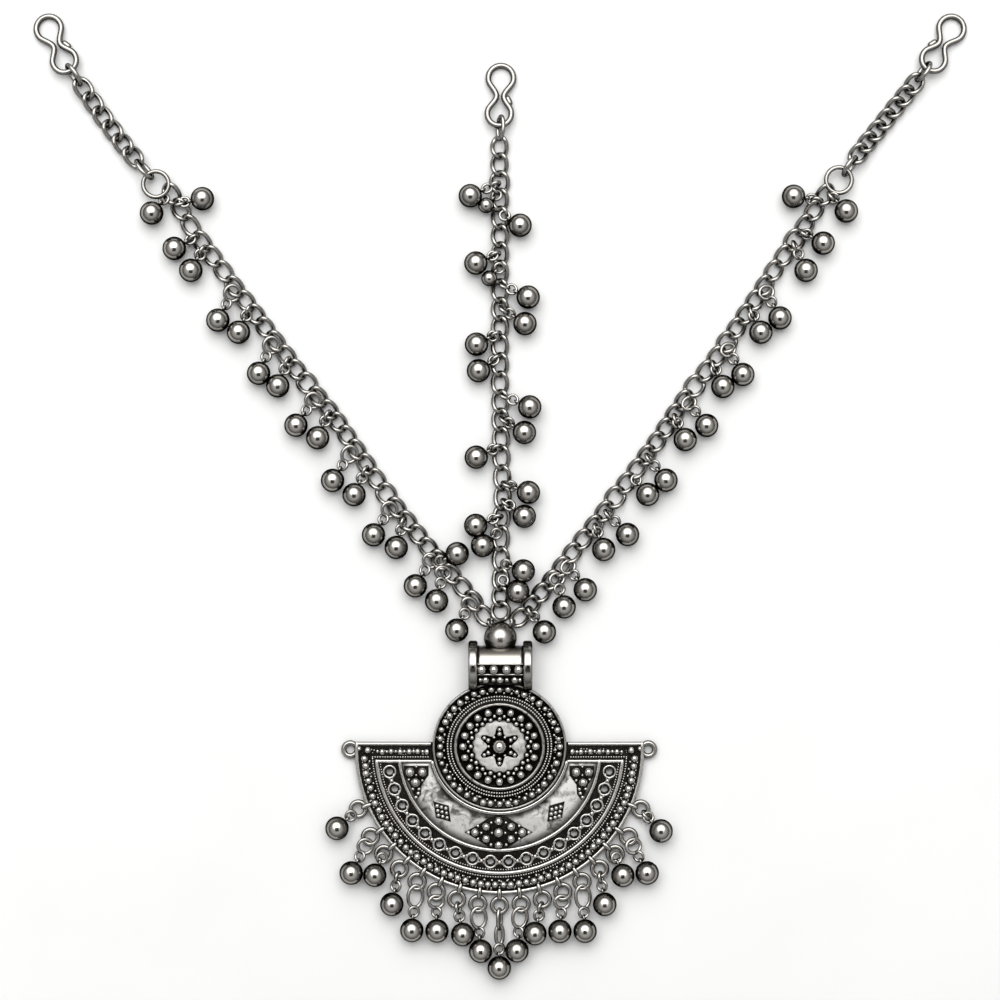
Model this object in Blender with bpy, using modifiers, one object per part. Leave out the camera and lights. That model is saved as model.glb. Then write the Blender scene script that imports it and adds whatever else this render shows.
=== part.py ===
"""Matha patti: a head jewel of three chains hung with balls, which meet above a pierced half-moon pendant.

It lies flat with its back on z = 0, top of the head towards +Y. The origin is the middle of the
medallion's flat back. Lengths are metres.
"""

import math

import bmesh
import bpy
from mathutils import Matrix, Vector

# Main sizes of the layout, from the medallion's middle: how far across the side hooks lie, and how far up
CHAIN_SPREAD = 0.107
CHAIN_HEIGHT = 0.169

# Clearance between pieces that touch on the real jewel
PIECE_GAP = 0.0003

# Balls and their wire shanks
BALL_DIAMETER = 0.0058
SMALL_BALL_DIAMETER = 0.0039
BALL_SIDES = 10
BALL_RINGS = 4
SHANK_WIRE = 0.0009
SHANK_SIDES = 4

# Plain chain between the side hooks and the rings
LINK_WIRE = 0.0010
LINK_WIDTH = 0.0044
LINK_RISE = 0.0007
LINK_STATIONS = 10
LINK_WIRE_SIDES = 5
END_LINK_ROLL = math.radians(20)
LEADER_RAMP = 3

# Ball-hung strands
STRAND_DIAMETER = 0.0034
STRAND_STEPS = 12
STRAND_SIDES = 8

# Hooks
HOOK_WIRE = 0.00113
HOOK_TOP_LOOP = 0.0074
HOOK_LOW_LOOP = 0.0071
HOOK_LENGTH = 0.0156
HOOK_WAIST_GAP = 0.0005
HOOK_TIP_LENGTH = 0.0022
HOOK_WIRE_SIDES = 5

# Rings where plain chain and strand meet
RING_DIAMETER = 0.0074
RING_WIRE = 0.0010
RING_STATIONS = 14

# Half-moon plate
PLATE_RADIUS = 0.0354
PLATE_DROP = 0.0005
PLATE_TOP = 0.00135
PLATE_THICKNESS = 0.0016
RIM_HEIGHT = 0.0022
OUTER_RIM_WIDTH = 0.0009
OUTER_RIM_INSET = 0.00015
MIDDLE_RIM_RADIUS = 0.0307
MIDDLE_RIM_TOP = -0.0028
MIDDLE_RIM_WIDTH = 0.0008
INNER_RIM_RADIUS = 0.0251
INNER_RIM_WIDTH = 0.0009
COLLAR_WIDTH = 0.0009
ARC_STEPS = 18

# Pierced circles of the scroll band
SCROLL_COUNT = 18
SCROLL_RADIUS = 0.0275
SCROLL_START = math.radians(11.3)
SCROLL_HOLE = 0.0023
SCROLL_SIDES = 10

# Loops round the plate's edge
LOOP_COUNT = 17
LOOP_START = math.radians(26)
LOOP_DIAMETER = 0.0047
LOOP_WIRE = 0.0008
LOOP_STANDOFF = 0.0028
LOOP_HEIGHT = 0.0015
PEG_WIDTH = 0.0009
CORNER_LOOP_DIAMETER = 0.0044
CORNER_LOOP_WIRE = 0.0011

# Connector links of the fringe
CONNECTOR_WIRE = 0.0008
CONNECTOR_WIDTH = 0.0030
CONNECTOR_LENGTH = 0.0068
BALL_GRIP = 0.0009

# Medallion
MEDALLION_RADIUS = 0.0160
MEDALLION_RIM = 0.0007
MEDALLION_HEIGHT = 0.0032
BAND_HEIGHT = 0.0026
INNER_RING_RADIUS = 0.0108
INNER_RING_WIDTH = 0.0007
INNER_RING_HEIGHT = 0.0034
RECESS_HEIGHT = 0.0024
FIELD_RADIUS = 0.0068
FIELD_HEIGHT = 0.0034
GRAIN_RADIUS = 0.0017
GRAIN_HEIGHT = 0.0049
MEDALLION_STEPS = 28

# Bail
BAIL_SHIFT = 0.0002
BAIL_STANDOFF = 0.00385
BARREL_RADIUS = 0.0049
BARREL_LENGTH = 0.0112
FLANGE_RADIUS = 0.0061
FLANGE_WIDTH = 0.0022
BAIL_RISE = 0.0020
BAIL_ARC_STEPS = 12

# Ball on top of the bail
CROWN_STANDOFF = 0.0070
CROWN_DIAMETER = 0.0080
CROWN_RISE = 0.0008
CROWN_SIDES = 14
CROWN_RINGS = 8

# Each hook: the middle of its lower loop as shares of the chains' spread and height, its lean
# from +Y, and the side its tip is on. The middle hook has no place of its own: it holds the centre strand
HOOKS = {
    "hook_left": ((-0.998, 0.997), math.radians(25.5), 1),
    "hook_right": ((0.995, 1.000), math.radians(-29.9), -1),
    "hook_centre": (None, math.radians(-2.6), 1),
}

# Each ring: the strand that starts at it
RINGS = {"ring_left": "strand_left", "ring_right": "strand_right"}

# Each plain chain: hook, ring, number of links, and how far its middle bows out
LEADERS = {
    "leader_left": ("hook_left", "ring_left", 8, -0.0006),
    "leader_right": ("hook_right", "ring_right", 9, 0.0),
}

# The strands' routes, from the top of the head to the crown ball, in the same shares
ROUTES = {
    "strand_left": [
        (-0.762, 0.800), (-0.732, 0.779), (-0.658, 0.713), (-0.580, 0.650),
        (-0.487, 0.570), (-0.391, 0.490), (-0.285, 0.391), (-0.188, 0.309),
        (-0.113, 0.253), (-0.059, 0.213), (-0.036, 0.191),
    ],
    "strand_right": [
        (0.754, 0.805), (0.722, 0.780), (0.677, 0.738), (0.628, 0.693),
        (0.565, 0.628), (0.474, 0.548), (0.402, 0.485), (0.316, 0.407),
        (0.241, 0.343), (0.167, 0.283), (0.095, 0.227), (0.047, 0.189),
    ],
    "strand_centre": [
        (0.002, 0.898), (0.000, 0.848), (0.000, 0.751), (0.001, 0.606),
        (0.002, 0.461), (0.007, 0.392), (0.004, 0.302), (0.003, 0.185),
    ],
}

# Balls on each strand: where the shank leaves it, as a share of its length, then how far
# across (+X) and up (+Y) the ball lies from there, in ball diameters
BALLS = {
    "strand_left": [
        (0.001, -0.63, -0.72), (0.021, 1.20, 0.20), (0.094, -0.97, -0.55),
        (0.120, -0.59, -1.02), (0.215, -0.74, -1.45), (0.263, -0.51, -1.12),
        (0.338, -0.65, -1.51), (0.385, -0.47, -1.19), (0.472, -0.89, -1.31),
        (0.513, -0.50, -1.12), (0.596, -0.90, -1.40), (0.640, -0.55, -1.17),
        (0.724, -0.83, -1.33), (0.761, -0.34, -1.24), (0.850, -0.79, -1.30),
        (0.880, -0.33, -1.43), (0.864, 0.76, 0.31), (0.959, -0.64, -1.32),
    ],
    "strand_right": [
        (0.001, 0.73, -0.78), (0.019, -1.21, 0.18), (0.090, 0.94, -0.53),
        (0.114, 0.53, -1.22), (0.218, 0.68, -1.33), (0.264, 0.42, -1.03),
        (0.349, 0.74, -1.27), (0.389, 0.42, -1.06), (0.477, 0.88, -1.13),
        (0.516, 0.46, -1.05), (0.607, 0.82, -1.08), (0.654, 0.66, -0.82),
        (0.739, 0.94, -1.00), (0.772, 0.37, -1.06), (0.866, 0.87, -1.15),
        (0.893, 0.36, -1.40), (0.974, 0.68, -1.03),
    ],
    "strand_centre": [
        (0.109, -1.23, -0.56), (0.169, 0.87, -0.56), (0.252, -1.00, -0.44),
        (0.314, 1.20, -0.58), (0.362, 1.06, -0.71), (0.414, -0.99, -0.49),
        (0.462, -0.91, -0.62), (0.539, 1.25, -0.54), (0.588, 1.02, -0.63),
        (0.646, -1.04, -0.48), (0.720, 1.09, -0.41), (0.756, 0.93, -0.69),
        (0.788, -1.10, -0.40), (0.815, -0.80, -0.68), (0.883, 0.94, -0.35),
        (0.916, 0.71, -0.54),
    ],
}

# Small balls on the centre strand, in the same columns
SMALL_BALLS = [(0.129, -0.56, -0.55), (0.282, -0.44, -0.46)]

# Fringe balls from left to right: across and up from the middle of their loop, in ball diameters
FRINGE_BALLS = [
    (-0.94, -0.41), (-0.80, -1.50), (-0.37, -0.87), (-0.31, -1.46), (-0.21, -2.02), (0.04, -1.61),
    (0.26, -1.45), (0.12, -1.96), (-0.01, -2.60), (-0.18, -1.94), (-0.32, -1.41), (-0.13, -1.63),
    (0.12, -2.05), (0.21, -1.46), (0.31, -0.88), (0.77, -1.50), (0.90, -0.52),
]

# Faces this close to level with each other are made one
FLAT_ANGLE = math.radians(0.2)

# Values worked out from the sizes above
BALL_RADIUS = BALL_DIAMETER / 2
STRAND_HEIGHT = STRAND_DIAMETER / 2
LINK_REST = LINK_RISE + LINK_WIRE / 2
END_LINK_HEIGHT = LINK_WIDTH / 2
SEAT_RADIUS = MEDALLION_RADIUS + PIECE_GAP
LOOP_RING_RADIUS = PLATE_RADIUS + LOOP_STANDOFF
LOOP_PITCH = (math.pi - 2 * LOOP_START) / (LOOP_COUNT - 1)
SCROLL_PITCH = (math.pi - 2 * SCROLL_START) / (SCROLL_COUNT - 1)
SINK = PLATE_THICKNESS / 2
BAIL_PLACE = (BAIL_SHIFT, MEDALLION_RADIUS + BAIL_STANDOFF)
CROWN_PLACE = (BAIL_SHIFT, BAIL_PLACE[1] + CROWN_STANDOFF)
HOOK_LOW_REACH = (HOOK_LOW_LOOP - HOOK_WIRE) / 2
HOOK_TOP_REACH = (HOOK_TOP_LOOP - HOOK_WIRE) / 2
HOOK_SPACING = HOOK_LENGTH - HOOK_WIRE - HOOK_LOW_REACH - HOOK_TOP_REACH
HOOK_TILT = math.asin((END_LINK_HEIGHT - HOOK_WIRE / 2) / (HOOK_LENGTH - HOOK_WIRE))

for obj in list(bpy.data.objects):
    bpy.data.objects.remove(obj)

jewel = bpy.data.collections.new("matha_patti")
guides = bpy.data.collections.new("matha_patti_guides")
bpy.context.scene.collection.children.link(jewel)
bpy.context.scene.collection.children.link(guides)


def metal(name, colour, roughness):
    """A Principled metal."""
    material = bpy.data.materials.new(name)
    material.use_nodes = True
    shader = material.node_tree.nodes["Principled BSDF"]
    shader.inputs["Base Color"].default_value = (*colour, 1)
    shader.inputs["Metallic"].default_value = 1
    shader.inputs["Roughness"].default_value = roughness
    return material


def add(name, mesh, material, collection=jewel):
    """An object of this mesh, smooth where it is round."""
    mesh.materials.clear()
    mesh.materials.append(material)
    mesh.shade_smooth()
    mesh.set_sharp_from_angle(angle=math.radians(50))
    obj = bpy.data.objects.new(name, mesh)
    collection.objects.link(obj)
    return obj


def clean(mesh):
    """Welds caps and seams and turns the faces outwards."""
    shape = bmesh.new()
    shape.from_mesh(mesh)
    bmesh.ops.remove_doubles(shape, verts=shape.verts, dist=1e-6)
    bmesh.ops.recalc_face_normals(shape, faces=shape.faces)
    shape.to_mesh(mesh)
    shape.free()
    return mesh


def mesh_of(obj):
    """The evaluated mesh of a guide object, in world space; the guide is removed."""
    graph = bpy.context.evaluated_depsgraph_get()
    mesh = bpy.data.meshes.new_from_object(obj.evaluated_get(graph))
    mesh.transform(obj.matrix_world)
    bpy.data.objects.remove(obj)
    return clean(mesh)


def guide(name, data):
    obj = bpy.data.objects.new(name, data)
    guides.objects.link(obj)
    obj.hide_render = True
    if data.id_type == "MESH":
        obj.display_type = "WIRE"
    bpy.context.view_layer.update()
    return obj


def polygon_spline(curve, points, closed):
    spline = curve.splines.new("POLY")
    spline.points.add(len(points) - 1)
    for spot, point in zip(spline.points, points):
        spot.co = (*point, 1)
    spline.use_cyclic_u = closed
    return spline


def wire_mesh(points, diameter, sides, closed):
    """A wire of this many sides along the points."""
    section = bpy.data.curves.new("section", "CURVE")
    corners = [math.tau * side / sides for side in range(sides)]
    radius = diameter / 2
    polygon_spline(section, [(radius * math.cos(a), radius * math.sin(a), 0) for a in corners], True)
    section_guide = guide("section", section)
    curve = bpy.data.curves.new("wire", "CURVE")
    curve.dimensions = "3D"
    curve.bevel_mode = "OBJECT"
    curve.bevel_object = section_guide
    curve.use_fill_caps = not closed
    polygon_spline(curve, points, closed)
    mesh = mesh_of(guide("wire", curve))
    bpy.data.objects.remove(section_guide)
    return mesh


def tube_mesh(points, diameter):
    """A round tube as a beveled curve with filled caps."""
    curve = bpy.data.curves.new("tube", "CURVE")
    curve.dimensions = "3D"
    curve.bevel_depth = diameter / 2
    curve.bevel_resolution = (STRAND_SIDES - 4) // 2
    curve.use_fill_caps = True
    polygon_spline(curve, points, False)
    return mesh_of(guide("tube", curve))


def sheet_mesh(outlines, low, high):
    """A flat solid from z = low to z = high; outlines after the first are holes."""
    curve = bpy.data.curves.new("sheet", "CURVE")
    curve.dimensions = "2D"
    curve.fill_mode = "BOTH"
    curve.extrude = (high - low) / 2
    for outline in outlines:
        polygon_spline(curve, [(x, y, 0) for x, y in outline], True)
    mesh = mesh_of(guide("sheet", curve))
    mesh.transform(Matrix.Translation((0, 0, (low + high) / 2)))
    return mesh


def rod_mesh(start, end, diameter, sides):
    """A straight rod between two points."""
    shape = bmesh.new()
    run = end - start
    turn = Vector((0, 0, 1)).rotation_difference(run).to_matrix().to_4x4()
    place = Matrix.Translation((start + end) / 2) @ turn
    bmesh.ops.create_cone(
        shape, cap_ends=True, segments=sides, radius1=diameter / 2, radius2=diameter / 2,
        depth=run.length, matrix=place,
    )
    mesh = bpy.data.meshes.new("rod")
    shape.to_mesh(mesh)
    shape.free()
    return mesh


def ball_mesh(centre, diameter, sides, rings):
    shape = bmesh.new()
    bmesh.ops.create_uvsphere(
        shape, u_segments=sides, v_segments=rings, radius=diameter / 2,
        matrix=Matrix.Translation(centre),
    )
    mesh = bpy.data.meshes.new("ball")
    shape.to_mesh(mesh)
    shape.free()
    return mesh


def boolean(mesh, others, operation):
    """The mesh joined with the others, or with the others cut away."""
    base = guide("base", mesh)
    tools = bpy.data.collections.new("tools")
    bpy.context.scene.collection.children.link(tools)
    for other in others:
        tool = bpy.data.objects.new("tool", other)
        tool.hide_render = True
        tools.objects.link(tool)
    modifier = base.modifiers.new("boolean", "BOOLEAN")
    modifier.operation = operation
    modifier.solver = "EXACT"
    modifier.operand_type = "COLLECTION"
    modifier.collection = tools
    bpy.context.view_layer.update()
    result = mesh_of(base)
    shape = bmesh.new()
    shape.from_mesh(result)
    bmesh.ops.dissolve_limit(shape, angle_limit=FLAT_ANGLE, verts=shape.verts, edges=shape.edges)
    loose = [edge for edge in shape.edges if not edge.link_faces]
    bmesh.ops.delete(shape, geom=loose, context="EDGES")
    shape.to_mesh(result)
    shape.free()
    for tool in list(tools.objects):
        bpy.data.objects.remove(tool)
    bpy.data.collections.remove(tools)
    return result


def arc(radius, start, end, steps, middle=(0, 0)):
    """Points on a circle from one angle to another."""
    angles = [start + (end - start) * step / steps for step in range(steps + 1)]
    return [(middle[0] + radius * math.cos(a), middle[1] + radius * math.sin(a)) for a in angles]


def smooth_route(points, steps):
    """Evenly spaced points along a smooth curve through the given ones."""
    spots = [Vector(point) for point in points]
    spots = [2 * spots[0] - spots[1], *spots, 2 * spots[-1] - spots[-2]]
    fine = []
    for before, start, end, after in zip(spots, spots[1:], spots[2:], spots[3:]):
        for step in range(16):
            t = step / 16
            bend = (2 * before - 5 * start + 4 * end - after) * t * t
            swing = (3 * start - before - 3 * end + after) * t ** 3
            fine.append((2 * start + (end - before) * t + bend + swing) / 2)
    fine.append(spots[-2])
    lengths = [0.0]
    for start, end in zip(fine, fine[1:]):
        lengths.append(lengths[-1] + (end - start).length)
    route = []
    for step in range(steps + 1):
        reach = lengths[-1] * step / steps
        index = max(i for i, length in enumerate(lengths[:-1]) if length <= reach)
        share = (reach - lengths[index]) / (lengths[index + 1] - lengths[index])
        route.append(fine[index].lerp(fine[index + 1], min(share, 1)))
    return route


def along(route, share):
    """The point at this share of an evenly spaced route."""
    reach = share * (len(route) - 1)
    index = min(int(reach), len(route) - 2)
    return route[index].lerp(route[index + 1], reach - index)


def link_points(length, width, rise, stations):
    """The middle line of a link: an oval whose sides rise and fall, so that the next link crosses it."""
    points = []
    for station in range(stations):
        t = math.tau * station / stations
        points.append(Vector((length / 2 * math.cos(t), width / 2 * math.sin(t), rise * math.sin(2 * t))))
    return points


def lay(points, place, heading, roll):
    """Moves local points so that their X axis follows the heading, rolled about it."""
    ahead = heading.normalized()
    side = Vector((-ahead.y, ahead.x, 0)).normalized()
    frame = Matrix((ahead, side, ahead.cross(side))).transposed()
    turn = frame @ Matrix.Rotation(roll, 3, "X")
    return [place + turn @ point for point in points]


def laid(shares):
    """A place in the layout from its shares of the chains' spread and height."""
    return Vector((shares[0] * CHAIN_SPREAD, shares[1] * CHAIN_HEIGHT))


def beyond(strand, distance):
    """A place this far past a strand's top end, in line with it."""
    top, below = [laid(shares) for shares in ROUTES[strand][:2]]
    return top + (top - below).normalized() * distance


def hook_middle(name):
    shares = HOOKS[name][0]
    if shares is None:
        return beyond("strand_centre", HOOK_LOW_LOOP / 2 + PIECE_GAP)
    return laid(shares)


def ring_middle(name):
    return beyond(RINGS[name], RING_DIAMETER / 2 + PIECE_GAP)


def build_hook(name, material):
    """An hourglass wire whose two loops meet at a narrow waist, with its cut tip beside the waist."""
    lean, tip_side = HOOKS[name][1:]
    place = Vector((*hook_middle(name), END_LINK_HEIGHT - HOOK_LOW_REACH * math.sin(HOOK_TILT)))
    waist = (HOOK_WAIST_GAP + HOOK_WIRE) / 2
    waist_height = HOOK_SPACING * HOOK_LOW_REACH / (HOOK_LOW_REACH + HOOK_TOP_REACH)
    sweep = math.radians(118)
    outline = arc(HOOK_TOP_REACH, math.pi / 2 - sweep, math.pi / 2 + sweep, 8, (0, HOOK_SPACING))
    outline.append((-waist, waist_height))
    outline += arc(HOOK_LOW_REACH, -math.pi / 2 - sweep, -math.pi / 2 + sweep, 8)
    outline.append((waist, waist_height))
    tip_start = Vector((tip_side * (waist + HOOK_WIRE * 0.85), waist_height + HOOK_WIRE * 0.3, 0))
    tip_run = Vector((tip_side * math.sin(math.radians(35)), -math.cos(math.radians(35)), 0))
    tip_end = tip_start + tip_run * HOOK_TIP_LENGTH
    turn = Matrix.Rotation(lean, 3, "Z") @ Matrix.Rotation(-HOOK_TILT, 3, "X")
    wire = wire_mesh([place + turn @ Vector((x, y, 0)) for x, y in outline], HOOK_WIRE, HOOK_WIRE_SIDES, True)
    tip = rod_mesh(place + turn @ tip_start, place + turn @ tip_end, HOOK_WIRE, HOOK_WIRE_SIDES)
    return add(name, boolean(wire, [tip], "UNION"), material)


def build_ring(name, material):
    place = Vector((*ring_middle(name), END_LINK_HEIGHT))
    circle = arc((RING_DIAMETER - RING_WIRE) / 2, 0, math.tau, RING_STATIONS)[:-1]
    points = [place + Vector((x, y, 0)) for x, y in circle]
    return add(name, wire_mesh(points, RING_WIRE, LINK_WIRE_SIDES, True), material)


def build_leader(name, material):
    """Plain links from the hook to the ring: an upright link at each end, twisted ones between."""
    hook, ring, count, bow = LEADERS[name]
    low_loop = Vector((*hook_middle(hook), END_LINK_HEIGHT))
    ring_place = Vector((*ring_middle(ring), END_LINK_HEIGHT))
    ahead = (ring_place - low_loop).normalized()
    start = low_loop + ahead * HOOK_LOW_REACH
    end = ring_place - ahead * (RING_DIAMETER - RING_WIRE) / 2
    side = Vector((-ahead.y, ahead.x, 0))
    slack = LINK_WIRE + PIECE_GAP
    hook_seat = (LINK_WIRE + HOOK_WIRE) / 2 + PIECE_GAP
    ring_seat = (LINK_WIRE + RING_WIRE) / 2 + PIECE_GAP
    pitch = ((end - start).length + hook_seat + ring_seat - slack) / count
    length = pitch + slack
    first = length / 2 - hook_seat

    def spot(number):
        """The place of a link on the bowed line, low in the middle of the chain."""
        share = (number + 0.5) / count
        ease = min(max(min(number, count - 1 - number) / LEADER_RAMP, 0), 1)
        drop = (END_LINK_HEIGHT - LINK_REST) * ease * ease * (3 - 2 * ease)
        step = ahead * (first + pitch * number) + side * bow * math.sin(math.pi * share)
        return start + step - Vector((0, 0, drop))

    for number in range(count):
        heading = spot(number + 0.5) - spot(number - 0.5)
        place = spot(number)
        if number in (0, count - 1):
            sign = -1 if number == 0 else 1
            points = link_points(length, LINK_WIDTH - LINK_WIRE, 0, LINK_STATIONS)
            points = lay(points, place, heading, math.pi / 2 + sign * END_LINK_ROLL)
        else:
            points = link_points(length, LINK_WIDTH - LINK_WIRE, LINK_RISE, LINK_STATIONS)
            points = lay(points, place, heading, 0)
        mesh = wire_mesh(points, LINK_WIRE, LINK_WIRE_SIDES, True)
        add(f"{name}_{number + 1:02d}", mesh, material)


def build_strand(name, material):
    """A tube that stands for a strand's links, its balls on wire shanks, and the shank to the crown ball."""
    route = smooth_route([(*laid(shares), STRAND_HEIGHT) for shares in ROUTES[name]], STRAND_STEPS)
    pieces = []
    rows = [(row, BALL_DIAMETER) for row in BALLS[name]]
    if name == "strand_centre":
        rows += [(row, SMALL_BALL_DIAMETER) for row in SMALL_BALLS]
    for (station, across, up), diameter in rows:
        start = along(route, station)
        centre = start + Vector((across, up, 0)) * BALL_DIAMETER
        centre.z = BALL_RADIUS
        pieces.append(ball_mesh(centre, diameter, BALL_SIDES, BALL_RINGS))
        pieces.append(rod_mesh(start, centre, SHANK_WIRE, SHANK_SIDES))
    crown = Vector((*CROWN_PLACE, CROWN_RISE))
    towards = (crown - route[-1]).normalized()
    seat = crown - towards * (CROWN_DIAMETER / 2 + PIECE_GAP)
    if (seat - route[-1]).dot(towards) > SHANK_WIRE:
        pieces.append(rod_mesh(route[-2].lerp(route[-1], 0.8), seat, SHANK_WIRE * 2, SHANK_SIDES))
    return add(name, boolean(tube_mesh(route, STRAND_DIAMETER), pieces, "UNION"), material)


def build_crown_ball(material):
    """The flat-backed ball, hollowed where the barrel crosses it."""
    centre = Vector((*CROWN_PLACE, CROWN_RISE))
    ball = ball_mesh(centre, CROWN_DIAMETER, CROWN_SIDES, CROWN_RINGS)
    floor = sheet_mesh([arc(CROWN_DIAMETER, 0, math.tau, 8, CROWN_PLACE)[:-1]], -CROWN_DIAMETER, 0)
    barrel = arched_mesh(BARREL_RADIUS + PIECE_GAP, BARREL_LENGTH, BAIL_PLACE[0], -CROWN_DIAMETER)
    return add("crown_ball", boolean(ball, [floor, barrel], "DIFFERENCE"), material)


def arched_mesh(radius, width, middle, low):
    """A bar along X with a round front and a flat back, for the bail's barrel and flanges."""
    outline = arc(radius, 0, math.pi, BAIL_ARC_STEPS, (0, BAIL_RISE))
    outline += [(-radius, low), (radius, low)]
    mesh = sheet_mesh([outline], -width / 2, width / 2)
    turn = Matrix.Rotation(math.pi / 2, 4, "Z") @ Matrix.Rotation(math.pi / 2, 4, "X")
    mesh.transform(Matrix.Translation((middle, BAIL_PLACE[1], 0)) @ turn)
    return mesh


def build_bail(material):
    """The barrel and its two flanges, cut to the medallion's edge."""
    barrel = arched_mesh(BARREL_RADIUS, BARREL_LENGTH + FLANGE_WIDTH, BAIL_PLACE[0], 0)
    offset = (BARREL_LENGTH + FLANGE_WIDTH) / 2
    flanges = [
        arched_mesh(FLANGE_RADIUS, FLANGE_WIDTH, BAIL_PLACE[0] + side * offset, 0) for side in (-1, 1)
    ]
    whole = boolean(barrel, flanges, "UNION")
    tall = BAIL_RISE + FLANGE_RADIUS
    circle = arc(SEAT_RADIUS, 0, math.tau, 2 * MEDALLION_STEPS)[:-1]
    return add("bail", boolean(whole, [sheet_mesh([circle], -tall, 2 * tall)], "DIFFERENCE"), material)


def build_medallion(material):
    """The boss: a profile turned about Z, from its flat back over the rims to the middle grain."""
    profile = [
        (0, 0), (MEDALLION_RADIUS, 0), (MEDALLION_RADIUS, MEDALLION_HEIGHT),
        (MEDALLION_RADIUS - MEDALLION_RIM, MEDALLION_HEIGHT),
        (MEDALLION_RADIUS - MEDALLION_RIM, BAND_HEIGHT), (INNER_RING_RADIUS, BAND_HEIGHT),
        (INNER_RING_RADIUS, INNER_RING_HEIGHT),
        (INNER_RING_RADIUS - INNER_RING_WIDTH, INNER_RING_HEIGHT),
        (INNER_RING_RADIUS - INNER_RING_WIDTH, RECESS_HEIGHT), (FIELD_RADIUS, RECESS_HEIGHT),
        (FIELD_RADIUS, FIELD_HEIGHT), (GRAIN_RADIUS, FIELD_HEIGHT),
        (GRAIN_RADIUS * 0.75, (FIELD_HEIGHT + 2 * GRAIN_HEIGHT) / 3), (0, GRAIN_HEIGHT),
    ]
    mesh = bpy.data.meshes.new("profile")
    points = [(radius, 0, height) for radius, height in reversed(profile)]
    mesh.from_pydata(points, [(index, index + 1) for index in range(len(points) - 1)], [])
    turned = guide("profile", mesh)
    screw = turned.modifiers.new("turn", "SCREW")
    screw.steps = MEDALLION_STEPS
    screw.render_steps = MEDALLION_STEPS
    screw.use_merge_vertices = True
    screw.merge_threshold = 1e-6
    bpy.context.view_layer.update()
    return add("medallion", mesh_of(turned), material)


def moon_arc(radius, top):
    """The arc of a half-moon outline, from its right corner round the bottom to its left one."""
    lift = math.asin((top + PLATE_DROP) / radius)
    return arc(radius, lift, -math.pi - lift, ARC_STEPS, (0, -PLATE_DROP))


def seat_corner(radius, height):
    """Where a circle about the origin meets a level line, on the right."""
    return math.sqrt(radius ** 2 - height ** 2)


def plate_outline():
    """The plate's edge: pegs for the loops along its arc, and the medallion's seat cut out of its top."""
    lift = math.asin((PLATE_TOP + PLATE_DROP) / PLATE_RADIUS)
    corner = PLATE_RADIUS * math.cos(lift)
    outline = [(corner, PLATE_TOP)]
    reach = LOOP_RING_RADIUS - (LOOP_DIAMETER - LOOP_WIRE) / 2
    for number in range(LOOP_COUNT):
        angle = -LOOP_START - LOOP_PITCH * number
        if number == 0:
            outline += arc(PLATE_RADIUS, lift, angle, 4, (0, -PLATE_DROP))[1:-1]
        for radius, turn in ((PLATE_RADIUS, 1), (reach, 1), (reach, -1), (PLATE_RADIUS, -1)):
            outline += arc(radius, angle + turn * PEG_WIDTH / 2 / radius, angle, 1, (0, -PLATE_DROP))[:1]
    outline += arc(PLATE_RADIUS, -math.pi + LOOP_START, -math.pi - lift, 4, (0, -PLATE_DROP))[1:-1]
    outline.append((-corner, PLATE_TOP))
    seat_lift = math.asin(PLATE_TOP / SEAT_RADIUS)
    outline += arc(SEAT_RADIUS, -math.pi - seat_lift, seat_lift, ARC_STEPS)
    return outline


def rim_outlines():
    """Outlines of the raised rims: outer edge, middle rim, inner rim and the medallion's collar."""
    collar = SEAT_RADIUS + COLLAR_WIDTH
    outer = PLATE_RADIUS - OUTER_RIM_INSET
    top = PLATE_TOP - OUTER_RIM_INSET
    outer_rim = [(seat_corner(collar, top) - COLLAR_WIDTH / 2, top)]
    outer_rim += moon_arc(outer, top)
    outer_rim.append((-seat_corner(collar, top) + COLLAR_WIDTH / 2, top))
    low_top = top - OUTER_RIM_WIDTH
    outer_rim.append((-seat_corner(collar, low_top) + COLLAR_WIDTH / 2, low_top))
    outer_rim += reversed(moon_arc(outer - OUTER_RIM_WIDTH, low_top))
    outer_rim.append((seat_corner(collar, low_top) - COLLAR_WIDTH / 2, low_top))

    low = MIDDLE_RIM_TOP - MIDDLE_RIM_WIDTH
    middle_rim = [(seat_corner(collar, MIDDLE_RIM_TOP) - COLLAR_WIDTH / 2, MIDDLE_RIM_TOP)]
    middle_rim += moon_arc(MIDDLE_RIM_RADIUS, MIDDLE_RIM_TOP)
    middle_rim.append((-seat_corner(collar, MIDDLE_RIM_TOP) + COLLAR_WIDTH / 2, MIDDLE_RIM_TOP))
    middle_rim.append((-seat_corner(collar, low) + COLLAR_WIDTH / 2, low))
    middle_rim += reversed(moon_arc(MIDDLE_RIM_RADIUS - MIDDLE_RIM_WIDTH, low))
    middle_rim.append((seat_corner(collar, low) - COLLAR_WIDTH / 2, low))

    inner_top = (MIDDLE_RIM_TOP + low) / 2
    inner_rim = moon_arc(INNER_RIM_RADIUS, inner_top)
    inner_rim += reversed(moon_arc(INNER_RIM_RADIUS - INNER_RIM_WIDTH, inner_top))

    seat_lift = math.asin(low_top / SEAT_RADIUS)
    seat = SEAT_RADIUS + OUTER_RIM_INSET
    collar_rim = arc(collar, seat_lift, -math.pi - seat_lift, ARC_STEPS)
    collar_rim += reversed(arc(seat, seat_lift, -math.pi - seat_lift, ARC_STEPS))
    return [outer_rim, middle_rim, inner_rim, collar_rim]


def loop_centre(number):
    """The middle of a fringe loop, counted from the left."""
    angle = -math.pi + LOOP_START + LOOP_PITCH * number
    x, y = arc(LOOP_RING_RADIUS, angle, angle, 1, (0, -PLATE_DROP))[0]
    return Vector((x, y, LOOP_HEIGHT))


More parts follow.
